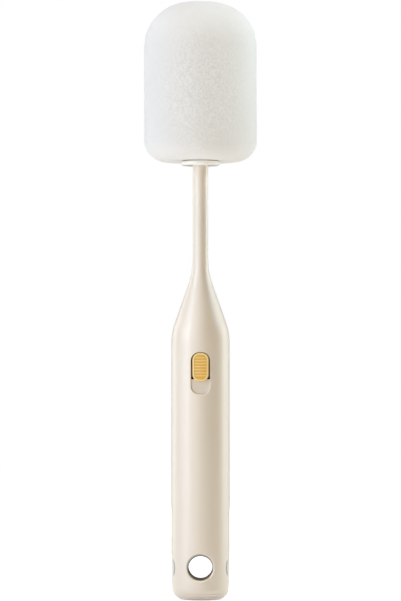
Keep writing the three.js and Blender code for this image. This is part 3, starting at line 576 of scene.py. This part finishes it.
def inner_plastic():
    material, nodes, shader = finish("matt_inner_plastic", {"IOR": 1.5})
    place = nodes.node("TexCoord", output="Object")
    clouds = nodes.node("TexNoise", {}, {"Vector": place, "Scale": INNER_CLOUDS, "Detail": 3})
    grain = nodes.node("TexNoise", {}, {"Vector": place, "Scale": INNER_GRAIN, "Detail": 2})
    bump = nodes.node("Bump", {}, {"Strength": 0.4, "Distance": INNER_GRAIN_DEPTH, "Height": grain})
    nodes.feed(shader.inputs["Base Color"], nodes.mix(clouds, INNER_LIGHT, INNER_DEEP))
    nodes.feed(shader.inputs["Roughness"], INNER_ROUGHNESS + INNER_ROUGHNESS_SPAN * grain)
    nodes.feed(shader.inputs["Normal"], bump)
    return material


def dress_node(name, material):
    """Gives a CAD node its finish."""
    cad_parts[name].material_slots[0].material = material


matt_plastic = inner_plastic()
for name in ("tail_bulkhead", "slide_frame", "slide_carriage"):
    dress_node(name, matt_plastic)


# Ring seals. Two black rubber rings: one round the bulkhead keeps water out of the
# grip, and one round the rod keeps it out of the stem.
RUBBER_DARK = (0.02, 0.02, 0.02)
RUBBER_PALE = (0.05, 0.05, 0.05)
RUBBER_BLOOM = 300
RUBBER_ROUGHNESS = 0.55
RUBBER_ROUGHNESS_SPAN = 0.2


def ring_rubber():
    material, nodes, shader = finish("black_rubber", {"IOR": 1.5})
    place = nodes.node("TexCoord", output="Object")
    bloom = nodes.node("TexNoise", {}, {"Vector": place, "Scale": RUBBER_BLOOM, "Detail": 3})
    nodes.feed(shader.inputs["Base Color"], nodes.mix(bloom, RUBBER_DARK, RUBBER_PALE))
    nodes.feed(shader.inputs["Roughness"], RUBBER_ROUGHNESS + RUBBER_ROUGHNESS_SPAN * bloom)
    return material


rubber = ring_rubber()
for name in ("bulkhead_seal", "rod_seal"):
    dress_node(name, rubber)


# Rod, clip, set screws, cam blade, its pin and the two barbs. Drawn stainless steel,
# with fine lines along the rod. The barbs and the blade are stamped from sheet.
STEEL_LIGHT = (0.62, 0.62, 0.61)
STEEL_DEEP = (0.5, 0.5, 0.5)
STEEL_LINES = (4000, 4000, 90)
STEEL_LINE_DEPTH = 0.005 * MM
STEEL_ROUGHNESS = 0.24
STEEL_ROUGHNESS_SPAN = 0.16
STEEL_EDGE = 0.12 * MM
STEEL_EDGE_STEPS = 2


def drawn_steel():
    material, nodes, shader = finish("drawn_steel", {"Metallic": 1.0})
    place = nodes.node("TexCoord", output="Object")
    along = nodes.node("Mapping", {}, {"Vector": place, "Scale": STEEL_LINES})
    lines = nodes.node("TexNoise", {}, {"Vector": along, "Scale": 1, "Detail": 3})
    bump = nodes.node("Bump", {}, {"Strength": 0.3, "Distance": STEEL_LINE_DEPTH, "Height": lines})
    nodes.feed(shader.inputs["Base Color"], nodes.mix(lines, STEEL_LIGHT, STEEL_DEEP))
    nodes.feed(shader.inputs["Roughness"], STEEL_ROUGHNESS + STEEL_ROUGHNESS_SPAN * lines)
    nodes.feed(shader.inputs["Normal"], bump)
    return material


steel = drawn_steel()
for name in ("pull_rod", "rod_clip", "head_screw_front", "head_screw_back", "cam_blade", "blade_pin"):
    dress_node(name, steel)
for name in ("barb_left", "barb_right"):
    dress_node(name, steel)
    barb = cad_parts[name]
    corners = barb.modifiers.new("corners", "WELD")
    corners.merge_threshold = WELD
    edges = barb.modifiers.new("edges", "BEVEL")
    edges.width = STEEL_EDGE
    edges.segments = STEEL_EDGE_STEPS


# Return spring. Round steel wire wound on the rod between the slide frame's seat and the
# carriage. The real spring is squeezed as the button goes down; this one rides with the handle
# at its rest length.
SPRING_RADIUS = 4 * MM
SPRING_WIRE = 0.45 * MM
SPRING_TURNS = 7
SPRING_TURN_STEPS = 36
SPRING_SIDES = 10
spring_low, spring_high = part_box("return_spring")
spring_length = spring_high.z - spring_low.z
spring_rise = spring_length - 2 * SPRING_WIRE
spring_steps = SPRING_TURNS * SPRING_TURN_STEPS

spring_shape = bmesh.new()
bmesh.ops.create_circle(spring_shape, segments=SPRING_SIDES, radius=SPRING_WIRE, cap_ends=True)
to_seat = Matrix.Translation((SPRING_RADIUS, 0, spring_low.z + SPRING_WIRE))
upright = Matrix.Rotation(math.pi / 2, 4, "X")
bmesh.ops.transform(spring_shape, matrix=to_seat @ upright, verts=spring_shape.verts)
end_disc = spring_shape.faces[:]
bmesh.ops.spin(
    spring_shape,
    geom=end_disc,
    cent=(0, 0, 0),
    axis=(0, 0, 1),
    dvec=(0, 0, spring_rise / spring_steps),
    angle=math.tau * SPRING_TURNS,
    steps=spring_steps,
)
bmesh.ops.recalc_face_normals(spring_shape, faces=spring_shape.faces)
spring = piece("coil_spring", spring_shape)
dress(spring, steel)
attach(spring, "handle")
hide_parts("return_spring")
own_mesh(spring)


# Slot shutter. A strip behind the recess that travels with the button, so that the
# inside of the grip doesn't show. Brown plastic painted pale, as painted light in the narrow
# gaps beside the button, and black at its foot as painted shadow.
SHUTTER_BROWN = (0.6, 0.36, 0.13)
SHUTTER_PALE = (0.7, 0.44, 0.17)
SHUTTER_PAINTED_SHADOW = (0.004, 0.003, 0.002)
SHUTTER_SHADOW_TOP = 111 * MM
SHUTTER_SHADOW_FADE = 0.5 * MM
SHUTTER_GRAIN = 700
SHUTTER_ROUGHNESS = 0.5
SHUTTER_ROUGHNESS_SPAN = 0.2


def brown_plastic():
    material, nodes, shader = finish("brown_plastic", {"IOR": 1.45})
    place = nodes.node("TexCoord", output="Object")
    grain = nodes.node("TexNoise", {}, {"Vector": place, "Scale": SHUTTER_GRAIN, "Detail": 3})
    height = nodes.node("SeparateXYZ", {}, {0: place}, output="Z")
    above_painted_shadow = height.rises(SHUTTER_SHADOW_TOP, SHUTTER_SHADOW_FADE)
    brown = nodes.mix(grain, SHUTTER_BROWN, SHUTTER_PALE)
    # Painted shadow in black below the foot. Above it, the brown is painted pale, as painted light.
    nodes.feed(shader.inputs["Base Color"], nodes.mix(above_painted_shadow, SHUTTER_PAINTED_SHADOW, brown))
    nodes.feed(shader.inputs["Roughness"], SHUTTER_ROUGHNESS + SHUTTER_ROUGHNESS_SPAN * grain)
    return material


dress_node("slot_shutter", brown_plastic())


# Thumb button. Mustard plastic with a raised rim, and ribs across for the thumb.
# Its plain neck goes through the recess and the shutter into the carriage.
button_low, button_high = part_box("thumb_button")
BUTTON_CORNER = 3.4 * MM
BUTTON_BACK_Y = -13.2 * MM
BUTTON_FACE = -button_low.y
BUTTON_EDGE = 0.4 * MM
RIM_WIDTH = 0.4 * MM
RIM_SLOPE = 0.2 * MM
FIELD_DEPTH = 0.45 * MM
FIELD_CORNER = 0.05 * MM
FIELD_RINGS = 6
RIB_COUNT = 7
RIB_PITCH = 1.5 * MM
RIB_WIDTH = 0.8 * MM
RIB_HEIGHT = 0.27 * MM
RIB_DROP = 0.5 * MM
RIB_SUNK = 0.15 * MM
RIB_EDGE = 0.3 * MM
RIB_EDGE_STEPS = 4
RIB_BENDS = 12
NECK_HALF_WIDTH = 2.8 * MM
NECK_LOW = 116.45 * MM
NECK_HIGH = 121.65 * MM
NECK_BACK_Y = -6.4 * MM
button_half_width = button_high.x


def button_outline(grown):
    """The button's outline, grown all round."""
    low = button_low.z - grown
    high = button_high.z + grown
    return rounded_outline(button_half_width + grown, low, high, BUTTON_CORNER + grown)


field_inset = BUTTON_EDGE + RIM_WIDTH + RIM_SLOPE
button_rings = [flat_ring(button_outline(0), BUTTON_BACK_Y)]
for turn in quarter_turns():
    outline = button_outline(-BUTTON_EDGE * (1 - math.cos(turn)))
    button_rings.append(wall_ring(outline, BUTTON_FACE - BUTTON_EDGE * (1 - math.sin(turn))))
button_rings.append(wall_ring(button_outline(-BUTTON_EDGE - RIM_WIDTH), BUTTON_FACE))
for ring in range(FIELD_RINGS):
    deeper = (BUTTON_CORNER - field_inset - FIELD_CORNER) * ring / (FIELD_RINGS - 1)
    button_rings.append(wall_ring(button_outline(-field_inset - deeper), BUTTON_FACE - FIELD_DEPTH))


def rib(height):
    """One rib across the button's field, bent to its face and ending at the rim."""
    corner = BUTTON_CORNER - field_inset
    straight_top = button_high.z - BUTTON_CORNER
    straight_low = button_low.z + BUTTON_CORNER
    into_end = max(0, height - straight_top, straight_low - height)
    reach = button_half_width - BUTTON_CORNER + math.sqrt(max(0, corner**2 - into_end**2)) + RIM_SLOPE / 2
    shape = block((-reach, -RIB_HEIGHT, height - RIB_WIDTH / 2), (reach, RIB_SUNK, height + RIB_WIDTH / 2))

    def edges_across():
        return [edge for edge in shape.edges if abs(edge.verts[0].co.x - edge.verts[1].co.x) > reach]

    bmesh.ops.bevel(
        shape,
        geom=[edge for edge in edges_across() if all(vert.co.y < 0 for vert in edge.verts)],
        offset=RIB_EDGE,
        segments=RIB_EDGE_STEPS,
        profile=0.5,
        affect="EDGES",
        material=-1,
        clamp_overlap=True,
    )
    bmesh.ops.subdivide_edges(shape, edges=edges_across(), cuts=RIB_BENDS, use_grid_fill=True)
    for vert in shape.verts:
        vert.co.y -= math.sqrt((BUTTON_FACE - FIELD_DEPTH) ** 2 - vert.co.x**2)
    bmesh.ops.recalc_face_normals(shape, faces=shape.faces)
    return shape


# Painted light and shade: the button is paler at its face and deeper below it.
MUSTARD_PAINTED_LIGHT = (0.95, 0.72, 0.33)
MUSTARD_PAINTED_SHADE = (0.82, 0.48, 0.09)
MUSTARD_CLOUDS = 160
MUSTARD_CLOUD_SHARE = 0.12
MUSTARD_GRAIN = 3000
MUSTARD_GRAIN_DEPTH = 0.01 * MM
MUSTARD_ROUGHNESS = 0.34
MUSTARD_ROUGHNESS_SPAN = 0.1
NOISE_MIDDLE = 0.5


def mustard_plastic():
    """Painted highlights on the rim and the ribs, painted shade in the grooves, and a cloudy tone."""
    material, nodes, shader = finish(
        "mustard_plastic",
        {
            "IOR": 1.5,
            "Subsurface Weight": 0.15,
            "Subsurface Radius": (1, 0.5, 0.1),
            "Subsurface Scale": 1 * MM,
        },
    )
    place = nodes.node("TexCoord", output="Object")
    # Painted shade deeper below the face, and painted highlight on the rim and the rib tops.
    depth = (BUTTON_FACE - nodes.distance(place, (0, 0, 0), (1, 1, 0))) * (1 / FIELD_DEPTH)
    clouds = nodes.node("TexNoise", {}, {"Vector": place, "Scale": MUSTARD_CLOUDS, "Detail": 3})
    share = (depth + MUSTARD_CLOUD_SHARE * (clouds - NOISE_MIDDLE)).clamped()
    grain = nodes.node("TexNoise", {}, {"Vector": place, "Scale": MUSTARD_GRAIN, "Detail": 2})
    bump = nodes.node("Bump", {}, {"Strength": 0.4, "Distance": MUSTARD_GRAIN_DEPTH, "Height": grain})
    nodes.feed(shader.inputs["Base Color"], nodes.mix(share, MUSTARD_PAINTED_LIGHT, MUSTARD_PAINTED_SHADE))
    nodes.feed(shader.inputs["Roughness"], MUSTARD_ROUGHNESS + MUSTARD_ROUGHNESS_SPAN * grain)
    nodes.feed(shader.inputs["Normal"], bump)
    return material


def joined(shapes):
    """Several separate shapes as one."""
    whole = bmesh.new()
    for shape in shapes:
        mesh = bpy.data.meshes.new("joined")
        shape.to_mesh(mesh)
        shape.free()
        whole.from_mesh(mesh)
        bpy.data.meshes.remove(mesh)
    return whole


button = piece("slide_button", lofted(button_rings))
neck_low = (-NECK_HALF_WIDTH, BUTTON_BACK_Y - CLEAR / 2, NECK_LOW)
carve(button, "UNION", block(neck_low, (NECK_HALF_WIDTH, NECK_BACK_Y, NECK_HIGH)))
ribs_top = button_high.z - field_inset - RIB_DROP
carve(button, "UNION", joined(rib(ribs_top - (count + 0.5) * RIB_PITCH) for count in range(RIB_COUNT)))
dress(button, mustard_plastic())
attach(button, "slider")
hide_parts("thumb_button")


# Head post. A cream moulding on the stem's spigot: the seat disc that shows under the
# sponge, and the post inside it with a slot for each barb and a hole for each set screw.
post_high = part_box("head_post")[1]
DISC_TOP = 219.535 * MM
DISC_ROUND = 0.7 * MM
DISC_EDGE = 0.3 * MM
DISC_RADIUS = post_high.x
POST_RADIUS = 7.4 * MM
POST_INNER = 6.6 * MM
POST_EDGE = 0.25 * MM
SOCKET_RADIUS = 3.1 * MM
SOCKET_TOP = 231.04 * MM
CAVITY_BOTTOM = 233.44 * MM
SLIT_GAP = 0.2 * MM
SCREW_HOLE = 1.3 * MM
BARB_NEAR_Y = 1.1 * MM
barb_low, barb_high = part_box("barb_right")
screw_low, screw_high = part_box("head_screw_front")

post_profile = [(SOCKET_RADIUS, stem_top)]
post_profile += arc((DISC_RADIUS - DISC_ROUND, stem_top + DISC_ROUND), DISC_ROUND, -90, 0)
post_profile += arc((DISC_RADIUS - DISC_EDGE, DISC_TOP - DISC_EDGE), DISC_EDGE, 0, 90, LIP_STEPS)
post_profile += [(POST_RADIUS, DISC_TOP)]
post_profile += arc((POST_RADIUS - POST_EDGE, post_high.z - POST_EDGE), POST_EDGE, 0, 90, LIP_STEPS)
post_profile += [
    (POST_INNER, post_high.z),
    (POST_INNER, CAVITY_BOTTOM),
    (STEM_BORE, CAVITY_BOTTOM),
    (STEM_BORE, SOCKET_TOP),
    (SOCKET_RADIUS, SOCKET_TOP),
]
post = piece("seat_disc_and_post", spun(post_profile))
slit = block(
    (POST_INNER - CLEAR, BARB_NEAR_Y - SLIT_GAP, barb_low.z - SLIT_GAP),
    (POST_RADIUS + CLEAR, barb_high.y + SLIT_GAP, barb_high.z + SLIT_GAP),
)
opposite_slit = slit.copy()
half_turn = Matrix.Rotation(math.pi, 3, "Z")
bmesh.ops.rotate(opposite_slit, cent=(0, 0, 0), matrix=half_turn, verts=opposite_slit.verts)
carve(post, "DIFFERENCE", slit)
carve(post, "DIFFERENCE", opposite_slit)
screw_height = (screw_low.z + screw_high.z) / 2
carve(post, "DIFFERENCE", bar_along_y(SCREW_HOLE, POST_RADIUS + CLEAR, screw_height))
# The seat disc's side and the post below it are painted paler, as painted light.
dress(post, cream_plastic("painted_light_cream_plastic", painted_light_top=DISC_TOP - DISC_EDGE / 2))
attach(post, "handle")
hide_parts("head_post")


# Nose cap. The rounded tip that closes the post and opens the sponge's pocket as the
# sponge is pushed on. Pale matt plastic, pressed into the post.
NOSE_SPIGOT_RADIUS = 6.4 * MM
nose_low, nose_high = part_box("nose_cap")
NOSE_STEPS = 24
nose_profile = [(0, nose_low.z), (NOSE_SPIGOT_RADIUS, nose_low.z), (NOSE_SPIGOT_RADIUS, post_high.z)]
for step in range(NOSE_STEPS + 1):
    share = step / NOSE_STEPS
    height = post_high.z + (nose_high.z - post_high.z) * (1 - (1 - share) ** 2)
    nose_profile.append((POST_RADIUS * (1 - share**2), height))
nose = piece("post_nose", spun(nose_profile))
dress(nose, matt_plastic)
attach(nose, "handle")
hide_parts("nose_cap")


# Sponge. One block of fine white open-cell foam, turned to a rounded cylinder with a
# pocket for the post. The barbs hold it, and it pulls off upwards.
sponge_low, sponge_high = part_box("sponge")
SPONGE_TOP_ROUND = 22.6 * MM
SPONGE_BOTTOM_ROUND = 11.2 * MM
SPONGE_BOTTOM_STEPS = 28
SPONGE_TOP_STEPS = 58
MOUTH_GAP = 0.3 * MM
MOUTH_RADIUS = DISC_RADIUS + MOUTH_GAP
MOUTH_Z = DISC_TOP + MOUTH_GAP
POCKET_RADIUS = 7.7 * MM
POCKET_TOP = 266.54 * MM
FOAM_STEP = 0.62 * MM
FOAM_SPIN_STEPS = 288
CELL_SIZE = 1.5 * MM
CELL_DEPTH = 0.16 * MM
CELL_OCTAVES = 2
sponge_radius = sponge_high.x


def stepped(points, step):
    """A polyline with points added so that none of its stretches is longer than a step."""
    dense = [points[0]]
    for (x0, z0), (x1, z1) in zip(points, points[1:]):
        count = max(1, math.ceil(math.hypot(x1 - x0, z1 - z0) / step))
        for part in range(1, count + 1):
            dense.append((x0 + (x1 - x0) * part / count, z0 + (z1 - z0) * part / count))
    return dense


lower_centre = (sponge_radius - SPONGE_BOTTOM_ROUND, sponge_low.z + SPONGE_BOTTOM_ROUND)
upper_centre = (sponge_radius - SPONGE_TOP_ROUND, sponge_high.z - SPONGE_TOP_ROUND)
foam_profile = [
    (0, POCKET_TOP),
    (POCKET_RADIUS, POCKET_TOP),
    (POCKET_RADIUS, MOUTH_Z),
    (MOUTH_RADIUS, MOUTH_Z),
]
foam_profile += arc(lower_centre, SPONGE_BOTTOM_ROUND, -90, 0, SPONGE_BOTTOM_STEPS)
foam_profile += arc(upper_centre, SPONGE_TOP_ROUND, 0, 90, SPONGE_TOP_STEPS)
foam_profile.append((0, sponge_high.z))
foam_shape = spun(stepped(foam_profile, FOAM_STEP), FOAM_SPIN_STEPS)
foam_shape.normal_update()
for vert in foam_shape.verts:
    cells = noise.turbulence(vert.co / CELL_SIZE, CELL_OCTAVES, True)
    vert.co -= vert.normal * CELL_DEPTH * cells

FOAM_LIGHT = (0.96, 0.914, 0.876)
FOAM_DEEP = (0.765, 0.726, 0.692)
FOAM_CONTRAST = 2.3
# Painted shade in the pores: the speckle's share at the sides, and the reach and height of its strong
# middle.
FOAM_SIDE_SPECKLE = 0.1
FOAM_PORE_SHADE_REACH = 23 * MM
FOAM_PORE_SHADE_AXES = (1, 0, 0.68)
FOAM_PORE_SHADE_DROP = 6 * MM
FOAM_GRAIN = 850
FOAM_PORES = 2600
FOAM_PORE_SHARE = 0.3
FOAM_RELIEF = 0.4 * MM


def white_foam():
    """Soft and white. Its speckle is strongest mid-front and mid-back, as painted shade in the pores."""
    material, nodes, shader = finish(
        "white_foam",
        {
            "IOR": 1.3,
            "Roughness": 1.0,
            "Specular IOR Level": 0.1,
            "Sheen Weight": 0.3,
            "Sheen Roughness": 0.6,
            "Subsurface Weight": 0.4,
            "Subsurface Radius": (1, 0.95, 0.9),
            "Subsurface Scale": 10 * MM,
        },
    )
    place = nodes.node("TexCoord", output="Object")
    grain = nodes.node(
        "TexNoise",
        {},
        {"Vector": place, "Scale": FOAM_GRAIN, "Detail": 3, "Roughness": 0.6},
    )
    pores = nodes.node("TexVoronoi", {}, {"Vector": place, "Scale": FOAM_PORES})
    relief = grain + FOAM_PORE_SHARE * pores
    bump = nodes.node("Bump", {}, {"Strength": 0.8, "Distance": FOAM_RELIEF, "Height": relief})
    middle = (0, 0, (sponge_low.z + sponge_high.z) / 2 - FOAM_PORE_SHADE_DROP)
    # Painted shade: the random speckle is made stronger towards the middle of the front and the back.
    from_middle = nodes.distance(place, middle, FOAM_PORE_SHADE_AXES) * (1 / FOAM_PORE_SHADE_REACH)
    pore_painted_shade = (1 - from_middle * from_middle).clamped()
    contrast = FOAM_CONTRAST * (FOAM_SIDE_SPECKLE + (1 - FOAM_SIDE_SPECKLE) * pore_painted_shade)
    speckle = (NOISE_MIDDLE + contrast * (grain - NOISE_MIDDLE)).clamped()
    nodes.feed(shader.inputs["Base Color"], nodes.mix(speckle, FOAM_DEEP, FOAM_LIGHT))
    nodes.feed(shader.inputs["Normal"], bump)
    return material


sponge = piece("foam_sponge", foam_shape)
dress(sponge, white_foam())
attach(sponge, "sponge_head")
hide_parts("sponge")


# Studio. A glowing white floor and backdrop, and soft boxes on both sides, behind and overhead.
# A black cloth behind the brush draws its edges, and a dim warm board at the camera's right tones
# the grip's shaded side. The camera doesn't see the cloth, the board and the boxes.
FLOOR_REACH = 3
FLOOR_PALE = (0.6, 0.6, 0.6)
FLOOR_GLOW = (0.53, 0.525, 0.505)
FLOOR_NEAR = (0.75, 0.75, 0.75)
FLOOR_NEAR_REACH = 0.15
FLOOR_FADE = 0.5
FLOOR_SHADOW_RADIUS = 15 * MM
ROOM_COLOUR = (0.01, 0.01, 0.01)
WHITE = (1, 1, 1)
BLACK = (0, 0, 0)
LIGHT_AIM = 0.15
LIGHT_AWAY = 1.3
FULL_SPREAD = 180


def seen_directly(nodes):
    """1 on rays from the camera, a reflection or clear material, which see the backdrop."""
    from_camera = nodes.node("LightPath", output="Is Camera Ray")
    reflected = nodes.node("LightPath", output="Is Glossy Ray")
    through = nodes.node("LightPath", output="Is Transmission Ray")
    return (from_camera + reflected + through).smallest(1)


def pale_floor():
    """Pale and matt, with a glow that the brush's light sees dimmer than the camera does, and none round the
    foot, as painted shadow.
    """
    material, nodes, shader = finish(
        "pale_floor",
        {
            "Base Color": (*FLOOR_PALE, 1),
            "Roughness": 1.0,
            "Specular IOR Level": 0.0,
            "Emission Strength": 1.0,
        },
    )
    from_brush = nodes.distance(nodes.node("TexCoord", output="Object"), (0, 0, 0), (1, 1, 1))
    seen = nodes.mix(from_brush.rises(FLOOR_NEAR_REACH, FLOOR_FADE), FLOOR_NEAR, WHITE)
    # Painted shadow: no glow for the brush's light within a small radius of its foot.
    glow = nodes.mix(from_brush.below(FLOOR_SHADOW_RADIUS), FLOOR_GLOW, BLACK)
    nodes.feed(shader.inputs["Emission Color"], nodes.mix(seen_directly(nodes), glow, seen))
    return material


floor_shape = bmesh.new()
bmesh.ops.create_grid(floor_shape, x_segments=2, y_segments=2, size=FLOOR_REACH)
floor = piece("floor", floor_shape)
floor.data.materials.append(pale_floor())

world = bpy.data.worlds.new("white_studio")
bpy.context.scene.world = world
world.use_nodes = True
room = Nodes(world.node_tree)
background = world.node_tree.nodes["Background"]
room.feed(background.inputs["Color"], room.mix(seen_directly(room), ROOM_COLOUR, WHITE))


def soft_light(
    name, azimuth, height, size, power, colour, away=LIGHT_AWAY, aim=LIGHT_AIM, spread=FULL_SPREAD
):
    """A soft box that faces a height on the brush, at an angle from the camera's side in degrees."""
    turn = math.radians(azimuth)
    place = Vector((away * math.sin(turn), -away * math.cos(turn), height))
    lamp = bpy.data.lights.new(name, "AREA")
    lamp.shape = "RECTANGLE"
    lamp.size, lamp.size_y = size
    lamp.energy = power
    lamp.color = colour
    lamp.spread = math.radians(spread)
    made = bpy.data.objects.new(name, lamp)
    made.location = place
    made.rotation_euler = (Vector((0, 0, aim)) - place).to_track_quat("-Z", "Y").to_euler()
    made.visible_camera = False
    bpy.context.scene.collection.objects.link(made)


soft_light("left_box", azimuth=-53, height=0.55, size=(0.16, 1.3), power=6.7, colour=(0.73, 0.84, 1))
soft_light("left_fill", azimuth=-75, height=0.5, size=(0.4, 1.3), power=3.1, colour=(0.72, 0.82, 0.98))
soft_light("left_edge", azimuth=-125, height=0.5, size=(0.4, 1.2), power=3.0, colour=(0.95, 1, 0.97))
soft_light("right_box", azimuth=108, height=0.35, size=(0.4, 0.9), power=3.3, colour=(0.9, 1, 0.93))
soft_light("right_edge", azimuth=130, height=0.5, size=(0.4, 1.2), power=1.4, colour=(0.8, 1, 1))
soft_light("back_box", azimuth=180, height=0.6, size=(0.9, 0.9), power=5.5, colour=(1, 0.95, 0.88))
soft_light("top_box", azimuth=0, height=1.5, away=0.25, size=(0.9, 0.9), power=9.6, colour=(1, 1, 0.97))
soft_light("front_fill", azimuth=-22, height=0.6, size=(0.5, 1.2), power=2.1, colour=(0.92, 1, 0.97))
soft_light(
    "sponge_fill",
    azimuth=88,
    height=0.42,
    away=0.42,
    size=(0.12, 0.12),
    power=0.046,
    colour=(0.6, 0.8, 1),
    aim=0.285,
    spread=36,
)

CLOTH_LOW = (-0.1, 0.16, 0.002)
CLOTH_HIGH = (0.1, 0.164, 0.9)
BOARD_LOW = (-0.5, -0.702, -0.2)
BOARD_HIGH = (0.5, -0.698, 1.6)
BOARD_AZIMUTH = 48
BOARD_GLOW = (0.38, 0.31, 0.18)


def screen(name, low, high, azimuth, glow):
    """A matt board out of the picture, at an angle from the camera's side in degrees."""
    shape = block(low, high)
    turn = Matrix.Rotation(math.radians(azimuth), 3, "Z")
    bmesh.ops.rotate(shape, cent=(0, 0, 0), matrix=turn, verts=shape.verts)
    made = piece(name, shape)
    matt = finish(
        name,
        {
            "Base Color": (*BLACK, 1),
            "Roughness": 1.0,
            "Specular IOR Level": 0.0,
            "Emission Color": (*glow, 1),
            "Emission Strength": 1.0,
        },
    )[0]
    made.data.materials.append(matt)
    made.visible_camera = False
    made.visible_shadow = False


screen("black_cloth", CLOTH_LOW, CLOTH_HIGH, 0, BLACK)
screen("dark_board", BOARD_LOW, BOARD_HIGH, BOARD_AZIMUTH, BOARD_GLOW)

CAMERA_AWAY = 1.75
CAMERA_HEIGHT = 0.102
VIEW_CENTRE = 0.14965
VIEW_HEIGHT = 0.3014
SENSOR = 36
camera_data = bpy.data.cameras.new("camera")
camera = bpy.data.objects.new("camera", camera_data)
camera.location = (0, -CAMERA_AWAY, CAMERA_HEIGHT)
sight = Vector((0, 0, VIEW_CENTRE)) - camera.location
camera.rotation_euler = sight.to_track_quat("-Z", "Y").to_euler()
camera_data.sensor_width = SENSOR
camera_data.lens = SENSOR * sight.length / VIEW_HEIGHT
bpy.context.scene.collection.objects.link(camera)
bpy.context.scene.camera = camera
bpy.context.scene.view_settings.view_transform = "Standard"
